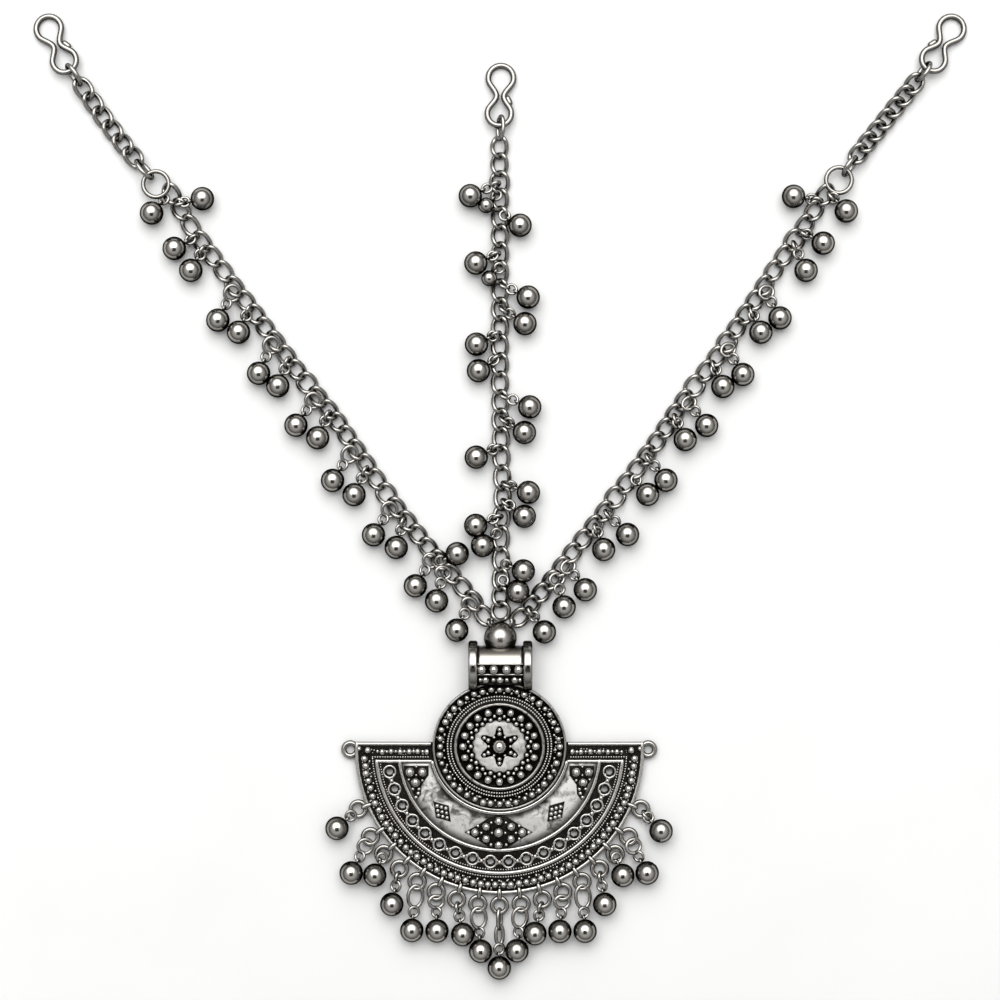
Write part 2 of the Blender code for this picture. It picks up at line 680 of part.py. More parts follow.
def loop_mesh(centre, diameter, wire):
    circle = arc((diameter - wire) / 2, 0, math.tau, LINK_STATIONS)[:-1]
    points = [centre + Vector((x, y, 0)) for x, y in circle]
    return wire_mesh(points, wire, LINK_WIRE_SIDES, True)


def build_half_moon(material):
    """The pierced plate with its rims and loops, soldered into one piece."""
    circles = []
    for number in range(SCROLL_COUNT):
        angle = -SCROLL_START - SCROLL_PITCH * number
        middle = arc(SCROLL_RADIUS, angle, angle, 1, (0, -PLATE_DROP))[0]
        circles.append(arc(SCROLL_HOLE / 2, 0, math.tau, SCROLL_SIDES, middle)[:-1])
    plate = sheet_mesh([plate_outline(), *circles], 0, PLATE_THICKNESS)
    pieces = [sheet_mesh([outline], SINK, RIM_HEIGHT) for outline in rim_outlines()]
    pieces += [loop_mesh(loop_centre(number), LOOP_DIAMETER, LOOP_WIRE) for number in range(LOOP_COUNT)]
    corner = math.sqrt(PLATE_RADIUS ** 2 - (PLATE_TOP + PLATE_DROP) ** 2)
    reach = corner + CORNER_LOOP_DIAMETER / 2 - CORNER_LOOP_WIRE / 2
    height = PLATE_TOP - CORNER_LOOP_DIAMETER / 2 + CORNER_LOOP_WIRE
    for side in (-1, 1):
        place = Vector((side * reach, height, CORNER_LOOP_WIRE))
        pieces.append(loop_mesh(place, CORNER_LOOP_DIAMETER, CORNER_LOOP_WIRE))
    return add("half_moon", boolean(plate, pieces, "UNION"), material)


def build_fringe_drop(number, material):
    """An upright connector link round the wire of its loop, with the ball on its far end."""
    middle = loop_centre(number)
    across, up = FRINGE_BALLS[number]
    run = Vector((across, up, 0)) * BALL_DIAMETER
    ahead = run.normalized()
    centre = Vector((middle.x + run.x, middle.y + run.y, BALL_RADIUS))
    inside = LOOP_DIAMETER / 2 - LOOP_WIRE - PIECE_GAP - CONNECTOR_WIRE / 2
    outside = min(inside + CONNECTOR_LENGTH, run.length - BALL_RADIUS + BALL_GRIP)
    place = Vector((middle.x, middle.y, CONNECTOR_WIDTH / 2)) + ahead * (inside + outside) / 2
    points = link_points(outside - inside, CONNECTOR_WIDTH - CONNECTOR_WIRE, 0, LINK_STATIONS)
    link = wire_mesh(lay(points, place, ahead, math.pi / 2), CONNECTOR_WIRE, LINK_WIRE_SIDES, True)
    pieces = [ball_mesh(centre, BALL_DIAMETER, BALL_SIDES, BALL_RINGS)]
    link_end = place + ahead * (outside - inside) / 2
    if (centre - link_end).length > BALL_RADIUS:
        pieces.append(rod_mesh(link_end, centre, SHANK_WIRE, SHANK_SIDES))
    return add(f"fringe_drop_{number + 1:02d}", boolean(link, pieces, "UNION"), material)


hook_silver = metal("hook_silver", (0.42, 0.40, 0.37), 0.30)
link_silver = metal("link_silver", (0.38, 0.36, 0.33), 0.32)
ring_silver = metal("ring_silver", (0.40, 0.38, 0.35), 0.32)
strand_silver = metal("strand_silver", (0.34, 0.32, 0.29), 0.30)
crown_silver = metal("crown_silver", (0.36, 0.35, 0.33), 0.18)
bail_silver = metal("bail_silver", (0.34, 0.33, 0.31), 0.30)
medallion_silver = metal("medallion_silver", (0.28, 0.27, 0.25), 0.36)
plate_silver = metal("plate_silver", (0.30, 0.29, 0.27), 0.34)
drop_silver = metal("drop_silver", (0.26, 0.25, 0.23), 0.20)

for hook_name in HOOKS:
    build_hook(hook_name, hook_silver)
for ring_name in RINGS:
    build_ring(ring_name, ring_silver)
for leader_name in LEADERS:
    build_leader(leader_name, link_silver)
for strand_name in ROUTES:
    build_strand(strand_name, strand_silver)
build_crown_ball(crown_silver)
build_bail(bail_silver)
build_medallion(medallion_silver)
build_half_moon(plate_silver)
for fringe_number in range(LOOP_COUNT):
    build_fringe_drop(fringe_number, drop_silver)
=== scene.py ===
# %% [markdown]
# # A silver matha patti, dressed for the camera
# This jewel lies on a white table: three chains hung with polished balls fan out from a round boss on a
# pierced half-moon. The CAD solids carry its sizes. This lesson lays real links, beads and grains over
# them, gives each its finish, and lights the table. The first cell loads the solids.

# %% Load the CAD frame
import math

import bmesh
import bpy
import numpy as np
from mathutils import Matrix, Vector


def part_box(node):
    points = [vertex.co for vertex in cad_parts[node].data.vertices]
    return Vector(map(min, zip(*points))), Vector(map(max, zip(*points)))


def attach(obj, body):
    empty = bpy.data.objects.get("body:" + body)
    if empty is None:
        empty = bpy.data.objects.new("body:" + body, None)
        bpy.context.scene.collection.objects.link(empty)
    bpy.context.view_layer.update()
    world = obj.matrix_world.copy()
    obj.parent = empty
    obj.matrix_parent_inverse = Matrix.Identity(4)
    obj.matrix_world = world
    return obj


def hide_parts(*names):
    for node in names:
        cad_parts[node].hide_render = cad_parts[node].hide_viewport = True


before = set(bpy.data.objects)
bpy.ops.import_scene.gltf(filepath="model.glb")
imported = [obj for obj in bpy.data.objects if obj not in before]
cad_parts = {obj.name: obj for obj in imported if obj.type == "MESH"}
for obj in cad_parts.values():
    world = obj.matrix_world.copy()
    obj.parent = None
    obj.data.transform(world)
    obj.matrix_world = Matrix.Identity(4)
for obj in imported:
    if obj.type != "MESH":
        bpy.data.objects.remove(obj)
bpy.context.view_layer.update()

# %% [markdown]
# The photograph looks straight down, so a pixel is a place on the table. Two numbers turn one into the
# other: the pixel where the medallion's middle is, and the millimetres that one pixel covers.

# %% Pixels and millimetres
MM = 0.001
PIXEL = 0.245 * MM
MIDDLE_PIXEL = (499.5, 748.0)


def at(px, py, z=0.0):
    """The place in metres that shows at a pixel of the photograph."""
    return np.array([(px - MIDDLE_PIXEL[0]) * PIXEL, (MIDDLE_PIXEL[1] - py) * PIXEL, z])


print("the frame's corners are", at(0, 0)[:2], at(1000, 1000)[:2])

# %% [markdown]
# The camera stands over the table. Its distance and lens are a usual pair for a small object, 0.7 m and
# about 100 mm, because a long lens keeps the chains at the sides from leaning outwards.

# %% Camera
CAMERA_HEIGHT = 0.70
SENSOR = 36.0
RELIEF_MIDDLE = 2.5 * MM

lens = bpy.data.cameras.new("table_camera")
lens.sensor_width = SENSOR
lens.lens = SENSOR * (CAMERA_HEIGHT - RELIEF_MIDDLE) / (1000 * PIXEL)
lens.clip_start = 0.01
lens.clip_end = 20
camera = bpy.data.objects.new("table_camera", lens)
camera.location = at(500, 500, CAMERA_HEIGHT)
bpy.context.scene.collection.objects.link(camera)
bpy.context.scene.camera = camera
print("lens", round(lens.lens, 1), "mm")

# %% [markdown]
# Every finish below is a small tree of nodes. One function adds a node with its settings and its links, and
# another turns the hex colours of a colour chart, which are sRGB, into the linear values that Blender's
# sockets take. A third ends a tree as bare metal, because every finish of this jewel is one.

# %% Helpers for finishes
EASED = {"interpolation_type": "SMOOTHSTEP"}   # a Map Range node with a soft passage from low to high
COLOURS = {"data_type": "RGBA"}                # a Mix node for colours and not for numbers


def linear(hex_colour):
    """A hex sRGB colour as linear red, green, blue and alpha."""
    shares = [int(hex_colour[i:i + 2], 16) / 255 for i in (0, 2, 4)]
    return [s / 12.92 if s <= 0.04045 else ((s + 0.055) / 1.055) ** 2.4 for s in shares] + [1.0]


def node(tree, kind, inputs=None, **settings):
    """Adds a node; an input may be a value, a socket, or a node, which then gives its first output."""
    added = tree.nodes.new(kind)
    for key, value in settings.items():
        setattr(added, key, value)
    for key, value in (inputs or {}).items():
        if isinstance(value, bpy.types.Node):
            value = value.outputs[0]
        if isinstance(value, bpy.types.NodeSocket):
            tree.links.new(value, added.inputs[key])
        else:
            added.inputs[key].default_value = value
    return added


def new_finish(name):
    """An empty material, and the tree to fill."""
    material = bpy.data.materials.new(name)
    material.use_nodes = True
    material.node_tree.nodes.clear()
    return material, material.node_tree


def end_as_metal(tree, colour, roughness, height, strength, depth, edge_tint="ffffff"):
    """Bare metal whose height pattern shows as bumps, with a tint for what its steep flanks mirror."""
    bump = node(tree, "ShaderNodeBump", {"Height": height, "Strength": strength, "Distance": depth})
    shader = node(tree, "ShaderNodeBsdfPrincipled", {
        "Base Color": colour, "Metallic": 1.0, "Specular Tint": linear(edge_tint),
        "Roughness": roughness, "Normal": bump})
    node(tree, "ShaderNodeOutputMaterial", {0: shader})


print("mid grey is", round(linear("808080")[0], 3), "in linear light")

# %% [markdown]
# Old silverwork is dipped in liver of sulphur, which turns it black all over, and then rubbed. The cloth
# reaches what faces out and leaves the sides and hollows dark. The share of silver that shows is read
# from the surface's own upward slope, with a cloudy pattern so that no two links are alike: what faces up
# is painted bright and the flanks dark. That dark is partly the black that stays and partly painted shade,
# for the dark that steep metal mirrors when seen from above. A dark tint for the flanks stands for the
# black that stays on them. The cloth's marks are finer than a pixel, so their grit is drawn 0.10 mm wide,
# which is as coarse as it needs to show.

# %% Oxidised and rubbed silver, with painted shade
CLOUD_SHIFT = 0.30   # the part of the slope's range by which the clouds move the rubbed edge


def patina_and_painted_shade_silver(name, silver, tarnish_and_shade, slope, roughness, cloud=1.4 * MM, grit=0.10 * MM):
    """Silver painted brighter between two slopes, partly as rubbed metal and partly as painted shade: 0 is
    an upright flank, and 1 faces up.
    """
    material, tree = new_finish(name)
    place = node(tree, "ShaderNodeTexCoord").outputs["Object"]
    normal = node(tree, "ShaderNodeNewGeometry").outputs["Normal"]
    facing = node(tree, "ShaderNodeSeparateXYZ", {0: normal}).outputs[2]
    clouds = node(tree, "ShaderNodeTexNoise", {"Vector": place, "Scale": 1 / cloud, "Detail": 4.0})
    shift = node(tree, "ShaderNodeMath", {0: clouds, 1: CLOUD_SHIFT, 2: -CLOUD_SHIFT / 2},
                 operation="MULTIPLY_ADD")
    upward = node(tree, "ShaderNodeMath", {0: facing, 1: shift}, operation="ADD")
    # painted shade: tops that face up take the silver and flanks the tarnish colour, partly patina and
    # partly painted shade
    rubbed_and_lit_share = node(tree, "ShaderNodeMapRange", {0: upward, 1: slope[0], 2: slope[1]}, **EASED)
    colour = node(tree, "ShaderNodeMix", {0: rubbed_and_lit_share, 6: linear(tarnish_and_shade), 7: linear(silver)}, **COLOURS)
    fine = node(tree, "ShaderNodeTexNoise", {"Vector": place, "Scale": 1 / grit, "Detail": 2.0})
    rough = node(tree, "ShaderNodeMapRange", {
        0: fine, 1: 0.3, 2: 0.7, 3: roughness * 0.8, 4: roughness * 1.25})
    end_as_metal(tree, colour.outputs[2], rough, fine, 0.12, 0.02 * MM, edge_tint="5a5a5a")
    return material


wire_silver = patina_and_painted_shade_silver("oxidised_silver_wire_painted_shade", "b0ada8", "393733", (0.10, 0.88), 0.20)
relief_silver = patina_and_painted_shade_silver("rubbed_silver_relief_painted_shade", "d8d5d0", "191716", (-0.05, 0.64), 0.22)
ball_silver = patina_and_painted_shade_silver("polished_silver_balls_painted_shade", "c0bcb6", "42403c", (0.38, 0.88), 0.17, 4 * MM)
crown_silver = patina_and_painted_shade_silver("crown_ball_silver_painted_shade", "b9b5af", "504d48", (0.10, 0.70), 0.24, 4 * MM)
hook_silver = patina_and_painted_shade_silver("oxidised_silver_hook_wire_painted_shade", "a6a39e", "3c3a36", (0.28, 0.97), 0.24)
print("rubbed finishes:", wire_silver.name, relief_silver.name, ball_silver.name)

# %% [markdown]
# The ground between the grains keeps its black. It is slightly crystalline, since the sulphide grows as
# a skin of specks, so it is rough, and a fine pattern of 0.15 mm breaks it up.

# %% Black ground
def sulphide_ground(name, dark, light, speck=0.15 * MM):
    """A black skin of specks on the silver."""
    material, tree = new_finish(name)
    place = node(tree, "ShaderNodeTexCoord").outputs["Object"]
    specks = node(tree, "ShaderNodeTexNoise", {"Vector": place, "Scale": 1 / speck, "Detail": 3.0})
    share = node(tree, "ShaderNodeMapRange", {0: specks, 1: 0.45, 2: 0.75}, **EASED)
    colour = node(tree, "ShaderNodeMix", {0: share, 6: linear(dark), 7: linear(light)}, **COLOURS)
    end_as_metal(tree, colour.outputs[2], 0.45, specks, 0.4, 0.05 * MM)
    return material


black_ground = sulphide_ground("sulphide_black_ground", "171513", "4a4642")
print("ground finish:", black_ground.name)

# %% [markdown]
# The two plain fields, the crescent and the one round the star, were burnished with a steel tool. They
# are bright but never clean: the black stays as soft clouds a few millimetres across and as pits. Each
# field is also painted darker towards its borders. A border is a circle, so its shade is read from the
# distance to that circle's middle.

# %% Burnished field
PIT = 0.8 * MM             # from pit to pit
BORDER_WANDER = 1.6 * MM   # how far the clouds move a border
BORDER_SHADE = 0.9


def burnished_field(name, bright, dull, borders, roughness, cloud=3.5 * MM):
    """A bright field with shaded borders: each is a middle, a radius fully dark and a radius clear."""
    material, tree = new_finish(name)
    place = node(tree, "ShaderNodeTexCoord").outputs["Object"]
    clouds = node(tree, "ShaderNodeTexNoise", {
        "Vector": place, "Scale": 1 / cloud, "Detail": 6.0, "Roughness": 0.62, "Distortion": 0.6})
    pits = node(tree, "ShaderNodeTexNoise", {"Vector": place, "Scale": 1 / PIT, "Detail": 4.0})
    share = node(tree, "ShaderNodeMapRange", {0: clouds, 1: 0.34, 2: 0.54}, **EASED)
    spots = node(tree, "ShaderNodeMapRange", {0: pits, 1: 0.64, 2: 0.72, 4: 0.7}, **EASED)
    colour = node(tree, "ShaderNodeMix", {0: share, 6: linear(dull), 7: linear(bright)}, **COLOURS)
    colour = node(tree, "ShaderNodeMix", {0: spots, 6: colour.outputs[2], 7: linear("3a3733")}, **COLOURS)
    for middle, dark, clear in borders:
        reach = node(tree, "ShaderNodeVectorMath", {0: place, 1: middle}, operation="DISTANCE")
        uneven = node(tree, "ShaderNodeMath", {0: clouds, 1: BORDER_WANDER, 2: reach.outputs["Value"]},
                      operation="MULTIPLY_ADD")
        near, far = (BORDER_SHADE, 0.0) if dark < clear else (0.0, BORDER_SHADE)
        shade = node(tree, "ShaderNodeMapRange", {
            0: uneven, 1: min(dark, clear) + BORDER_WANDER / 2, 2: max(dark, clear) + BORDER_WANDER / 2,
            3: near, 4: far}, **EASED)
        colour = node(tree, "ShaderNodeMix", {
            0: shade, 6: colour.outputs[2], 7: linear("1d1b18")}, **COLOURS)
    end_as_metal(tree, colour.outputs[2], roughness, clouds, 0.3, 0.2 * MM)
    return material


crescent_silver = burnished_field("burnished_silver_crescent", "f0eeea", "6a6863", [
    ((0, -0.5 * MM, 1.7 * MM), 24.3 * MM, 21.9 * MM), ((0, 0, 1.7 * MM), 17.0 * MM, 18.6 * MM)], 0.48)
satin_silver = burnished_field("satin_silver_field", "dcdad6", "b5b2ad", [
    ((0, 0.4 * MM, 2.9 * MM), 6.7 * MM, 5.8 * MM)], 0.46, 2.2 * MM)
print("field finishes:", crescent_silver.name, satin_silver.name)

# %% [markdown]
# Silversmiths build this jewel from three stock forms: drawn wire, round grains, and sheet. Each form gets
# a function that returns its points and faces, and a heap gathers many of them into one piece. A piece
# rides on the CAD body and stands for the nodes that it covers.

# %% A heap of metalwork
class Heap:
    """Points and faces of many small forms, soldered into one mesh at the end."""

    def __init__(self):
        self.points, self.faces, self.count = [], [], 0

    def add(self, form):
        points, faces = form
        self.points.append(points)
        self.faces += [[corner + self.count for corner in face] for face in faces]
        self.count += len(points)
        return self

    def piece(self, name, finish, slot, *nodes):
        mesh = bpy.data.meshes.new(name)
        mesh.from_pydata(np.vstack(self.points).tolist(), [], self.faces)
        dress(name, mesh, finish, slot, *nodes)


def dress(name, mesh, finish, slot, *nodes):
    """Makes a mesh a piece: smooth, finished, riding on the body, and shown in place of its nodes."""
    shape = bmesh.new()
    shape.from_mesh(mesh)
    bmesh.ops.recalc_face_normals(shape, faces=shape.faces)
    shape.to_mesh(mesh)
    shape.free()
    mesh.shade_smooth()
    mesh.materials.append(finish)
    piece = bpy.data.objects.new(name, mesh)
    bpy.context.scene.collection.objects.link(piece)
    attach(piece, "root")
    if nodes:
        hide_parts(*nodes)
    print(name, len(mesh.polygons), "faces")

# %% [markdown]
# Drawn wire is swept along a path: a ring of points is set square to the path at each of its points. The
# ring needs one direction that the path never follows, here called its back. Cut ends are rounded by a
# file, so they close in three shrinking rings.

# %% Wire
CUT_END = 1e-7   # the radius, in metres, of the last ring of a rounded end


def unit(vectors):
    """The same directions with length 1."""
    return vectors / np.linalg.norm(vectors, axis=-1, keepdims=True)


def wire(path, radius, closed=True, back=(0, 0, 1), sides=10):
    """Round wire along a path; the radius is one number, or one for each point."""
    path = np.asarray(path, float)
    radii = np.full(len(path), radius) if np.isscalar(radius) else np.asarray(radius, float)
    if closed:
        ahead = unit(np.roll(path, -1, 0) - np.roll(path, 1, 0))
    else:
        ahead = unit(np.gradient(path, axis=0))
        bends = np.radians([90, 60, 30])
        start, end = ahead[:1], ahead[-1:]
        path = np.vstack([path[:1] - start * radii[0] * np.sin(b) for b in bends]
                         + [path] + [path[-1:] + end * radii[-1] * np.sin(b) for b in bends[::-1]])
        radii = np.concatenate([
            radii[0] * np.cos(bends) + CUT_END, radii, radii[-1] * np.cos(bends[::-1]) + CUT_END])
        ahead = np.vstack([start] * 3 + [ahead] + [end] * 3)
    across = unit(np.cross(ahead, back))
    up = np.cross(across, ahead)
    turns = np.arange(sides) * math.tau / sides
    ring = radii[:, None, None] * (
        np.cos(turns)[None, :, None] * across[:, None] + np.sin(turns)[None, :, None] * up[:, None])
    points = (path[:, None] + ring).reshape(-1, 3)
    rows = len(path)
    faces = []
    for row in range(rows if closed else rows - 1):
        below, above = row * sides, (row + 1) % rows * sides
        faces += [[below + s, below + (s + 1) % sides, above + (s + 1) % sides, above + s]
                  for s in range(sides)]
    if not closed:
        faces += [list(range(sides))[::-1], list(range((rows - 1) * sides, rows * sides))]
    return points, faces


def frame_along(ahead, roll=0.0):
    """Three directions: along a heading, across it, and up, rolled about the heading."""
    ahead = unit(np.asarray(ahead, float))
    across = unit(np.cross((0, 0, 1), ahead))
    up = np.cross(ahead, across)
    cosine, sine = math.cos(roll), math.sin(roll)
    return ahead, across * cosine + up * sine, up * cosine - across * sine


def ring(middle, diameter, thickness, ahead=(1, 0, 0), roll=0.0, stations=28, sides=10):
    """A closed ring of wire, lying flat until it is rolled about its heading."""
    along, across, up = frame_along(ahead, roll)
    turns = np.arange(stations) * math.tau / stations
    reach = (diameter - thickness) / 2
    path = np.asarray(middle) + reach * (np.cos(turns)[:, None] * along + np.sin(turns)[:, None] * across)
    return wire(path, thickness / 2, back=up, sides=sides)


print("a ring of wire has", len(ring((0, 0, 0), 5 * MM, MM)[1]), "faces")

# %% [markdown]
# A grain is a clipping of silver that drew itself into a ball when it was melted on charcoal. It is a
# sphere here, sunk a little into the sheet. The large hollow balls use the same form with more faces.

# %% Grains and balls
def ball(middle, diameter, around=12, rows=8):
    """A sphere from rings of points and two poles."""
    tilts = np.arange(1, rows) * math.pi / rows
    turns = np.arange(around) * math.tau / around
    points = [[0, 0, 1.0]]
    for tilt in tilts:
        reach, height = math.sin(tilt), math.cos(tilt)
        points += [[reach * math.cos(t), reach * math.sin(t), height] for t in turns]
    points.append([0, 0, -1.0])
    last = len(points) - 1
    faces = [[0, 1 + s, 1 + (s + 1) % around] for s in range(around)]
    for row in range(rows - 2):
        top, low = 1 + row * around, 1 + (row + 1) * around
        faces += [[top + s, low + s, low + (s + 1) % around, top + (s + 1) % around]
                  for s in range(around)]
    faces += [[last, last - around + (s + 1) % around, last - around + s] for s in range(around)]
    return np.asarray(middle) + np.array(points) * diameter / 2, faces


def around_arc(middle, radius, start, end, count, squash=1.0):
    """Even places on an arc, in degrees, at the middle's own height."""
    turns = np.radians(np.linspace(start, end, count))
    offsets = np.stack([np.cos(turns), squash * np.sin(turns), np.zeros(count)], 1)
    return np.asarray(middle) + radius * offsets


print("a grain has", len(ball((0, 0, 0), MM)[1]), "faces")

# %% [markdown]
# Cable chain is wound from wire on an oval rod and cut into links. Each link here is an oval whose wire
# rises on two opposite corners and dips on the others, so one link passes through the next without
# touching it and both still lie nearly flat.

# %% One chain link
def link(middle, heading, length, width, thickness, rise, roll=0.0, stations=28):
    """A link by its outside length and width; rise is how far its corners leave its plane."""
    along, across, up = frame_along(heading, roll)
    turns = np.arange(stations) * math.tau / stations
    x = np.cos(turns) * (length - thickness) / 2
    y = np.sin(turns) * (width - thickness) / 2
    z = rise * np.sin(2 * turns)
    path = np.asarray(middle) + x[:, None] * along + y[:, None] * across + z[:, None] * up
    return wire(path, thickness / 2, back=up)


print("a link has", len(link((0, 0, 0), (1, 0, 0), 6 * MM, 4 * MM, MM, 0)[1]), "faces")

# %% [markdown]
# The side chains run from a hook to a thicker ring.

# %% Rings and measures of the side chains
LINK_WIRE = 1.12 * MM
LINK_WIDTH = 4.8 * MM
LINK_RISE = 0.7 * MM
LINK_PLAY = 0.3 * MM
END_LEAN = 20   # degrees by which the end links lean from upright
RING_SIZE = 7.4 * MM
RING_WIRE = 1.1 * MM


def node_middle(name):
    """The middle of a CAD node's box."""
    low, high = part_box(name)
    return np.array((low + high) / 2)


for name in ("ring_left", "ring_right"):
    heap = Heap().add(ring(node_middle(name), RING_SIZE, RING_WIRE, stations=48, sides=12))
    heap.piece(name + "_wire", hook_silver, "ring_silver", name)

# %% [markdown]
# The first and last link of a side chain stand nearly on edge, to take the hook and the ring, and the ones
# between lie twisted on the table. Each heads from the link before to the link after, so the chain bends
# as it does in the photograph.

# %% Links of the side chains
for side, count in (("left", 8), ("right", 9)):
    heap = Heap()
    names = [f"leader_{side}_{number + 1:02d}" for number in range(count)]
    middles = [node_middle(name) for name in names]
    pitch = np.mean([np.linalg.norm(b - a) for a, b in zip(middles, middles[1:])])
    length = pitch + 2 * LINK_WIRE + LINK_PLAY
    for number, middle in enumerate(middles):
        heading = unit(middles[min(number + 1, count - 1)] - middles[max(number - 1, 0)])
        if number in (0, count - 1):
            roll = math.radians(90 + (END_LEAN if number else -END_LEAN))
            heap.add(link(middle, heading, length, LINK_WIDTH, LINK_WIRE, 0, roll))
        else:
            heap.add(link(middle, heading, length, LINK_WIDTH, LINK_WIRE, LINK_RISE))
    heap.piece(f"leader_{side}_links", wire_silver, "link_silver", *names)

# %% [markdown]
# Each hook is one wire bent round two pegs into an hourglass. Its path is two long arcs joined by slack
# curves at the waist. The wire's cut end lies beside the waist, a little lower, as a short wire of its own.

# %% Hooks
def smooth(points, count, closed=False):
    """Even points along a smooth curve through the given ones."""
    spots = np.asarray(points, float)
    if closed:
        spots = np.vstack([spots[-1:], spots, spots[:2]])
    else:
        spots = np.vstack([2 * spots[:1] - spots[1:2], spots, 2 * spots[-1:] - spots[-2:-1]])
    fine = []
    for a, b, c, d in zip(spots, spots[1:], spots[2:], spots[3:]):
        for t in np.linspace(0, 1, 24, endpoint=False):
            fine.append((2 * b + (c - a) * t + (2 * a - 5 * b + 4 * c - d) * t * t
                         + (3 * b - a - 3 * c + d) * t ** 3) / 2)
    fine.append(spots[-2])
    fine = np.array(fine)
    reach = np.concatenate([[0], np.cumsum(np.linalg.norm(np.diff(fine, axis=0), axis=1))])
    wanted = np.linspace(0, reach[-1], count + 1 if closed else count)
    even = np.stack([np.interp(wanted, reach, fine[:, i]) for i in range(3)], 1)
    return even[:-1] if closed else even


HOOK_WIRE = 1.4 * MM
HOOK_LOW = 7.3 * MM      # across the loop that takes the chain
HOOK_TOP = 7.6 * MM      # across the loop for the hair
HOOK_LENGTH = 16.4 * MM
HOOK_RAISED = 2.2 * MM   # the height of the wire's middle where the chain's first link carries it
HOOK_WRAP = 118          # degrees that the wire goes round a peg, to either side
WAIST_GAP = 0.35 * MM
TIP_LENGTH = 1.3 * MM
TIP_TURN = math.radians(27)
LOW_REACH = (HOOK_LOW - HOOK_WIRE) / 2
TOP_REACH = (HOOK_TOP - HOOK_WIRE) / 2
HOOK_FALL = (HOOK_RAISED - HOOK_WIRE / 2) / (HOOK_LENGTH - HOOK_WIRE)


def hook_wire(middle, lean, tip_side):
    """The closed wire and the cut end of one hook, from its low loop's middle and its lean in degrees."""
    span = HOOK_LENGTH - HOOK_WIRE - LOW_REACH - TOP_REACH
    waist = (WAIST_GAP + HOOK_WIRE) / 2
    waist_y = span * LOW_REACH / (LOW_REACH + TOP_REACH)
    outline = [
        *around_arc((0, span, 0), TOP_REACH, 90 - HOOK_WRAP, 90 + HOOK_WRAP, 12),
        np.array([-waist, waist_y, 0]),
        *around_arc((0, 0, 0), LOW_REACH, -90 - HOOK_WRAP, -90 + HOOK_WRAP, 12),
        np.array([waist, waist_y, 0]),
    ]
    start = np.array([tip_side * (waist + 1.0 * MM), waist_y - 0.35 * MM, -0.3 * MM])
    run = np.array([tip_side * math.sin(TIP_TURN), -math.cos(TIP_TURN), 0]) * TIP_LENGTH
    tip = np.array([start, start + run / 2, start + run])
    leaning = Matrix.Rotation(math.radians(lean), 3, "Z")
    turn = np.array(leaning @ Matrix.Rotation(-math.asin(HOOK_FALL), 3, "X"))
    back = turn @ np.array([0, 0, 1.0])
    body = wire(smooth(outline, 96, closed=True) @ turn.T + middle, HOOK_WIRE / 2, back=back, sides=14)
    return body, wire(tip @ turn.T + middle, HOOK_WIRE / 2, closed=False, back=back, sides=14)


HOOKS = {
    "hook_left": (at(64.0, 60.2), 26.5, 1),
    "hook_right": (at(934.0, 59.0), -30.5, -1),
    "hook_centre": (at(499.3, 113.4), -2.6, 1),
}
for name, (middle, lean, tip_side) in HOOKS.items():
    body, tip = hook_wire(middle + (0, 0, HOOK_RAISED - HOOK_FALL * LOW_REACH), lean, tip_side)
    Heap().add(body).add(tip).piece(name + "_wire", hook_silver, "hook_silver", name)

# %% [markdown]
# The three strands are the heart of the jewel. The photograph shows each link, so their middles are given
# as pixels, and each link heads from the one before to the one after. Where a ball hangs on a wide ring,
# the link is a wider one. The first link of the middle strand stands up round the hook's wire.

# %% Links of the strands
STRAND_WIRE = 1.08 * MM
STRAND_WIDTH = 4.6 * MM
WIDE_WIDTH = 5.3 * MM
STRAND_RISE = 0.80 * MM
STRAND_LAP = 1.7 * STRAND_WIRE   # how much longer a link is than the way to the next one
LINKS = {
    "strand_left": [
        (171, 193.5), (180, 209), (190, 225.5), (201.3, 241.5), (212, 256), (223, 271), (233.8, 286.3),
        (245, 300.5), (255, 314), (264.5, 327), (275, 341), (286, 355.5), (296, 369.5), (306.5, 383),
        (317.5, 396.5), (328.3, 409.5), (337.5, 422), (346.5, 435.5), (356, 449.5), (366, 464),
        (376, 479), (386, 493.8), (396.2, 507.5), (407, 521), (417.5, 534.5), (428, 547.5), (439.3, 560),
        (451, 573.8), (462.5, 587.5), (473.3, 601), (483.8, 615.5),
    ],
    "strand_right": [
        (825.5, 194.5), (815, 210), (805.5, 225), (795, 240), (784.5, 255.5), (774.3, 270.5), (765, 285.5),
        (755.5, 300), (746, 314), (736.8, 328), (727.5, 342.2), (717.2, 356.5), (706.3, 371), (695, 386),
        (684.5, 400.3), (675, 414), (666, 428), (656.8, 441.8), (647, 455.2), (637, 468.8), (626.3, 483),
        (615.5, 497.3), (604.8, 511.6), (594, 525.7), (583, 539.4), (572.3, 553), (562, 566.7),
        (551.8, 580.2), (541.5, 592.8), (531, 605), (520, 617.5),
    ],
    "strand_centre": [
        (500.5, 129), (499.5, 146.5), (499.5, 164), (499.5, 182), (500, 199.5), (500, 217.5), (500, 235.5),
        (500, 253.5), (500, 272), (500, 290.5), (500, 309), (500, 327.5), (500, 346), (500, 364.5),
        (500, 383), (500.5, 401.5), (500.5, 420), (501, 438.5), (501.5, 457.5), (502.2, 477.5),
        (502.6, 497.5), (501.5, 517.5), (501, 538.5), (501, 559.5), (500.8, 579.5), (500.5, 596.5),
        (500.5, 611.5),
    ],
}
TWIST = {"strand_left": -1, "strand_right": 1, "strand_centre": -1}
WIDE = {"strand_left": (13, 21), "strand_right": (3, 10, 13, 21), "strand_centre": (3, 26)}


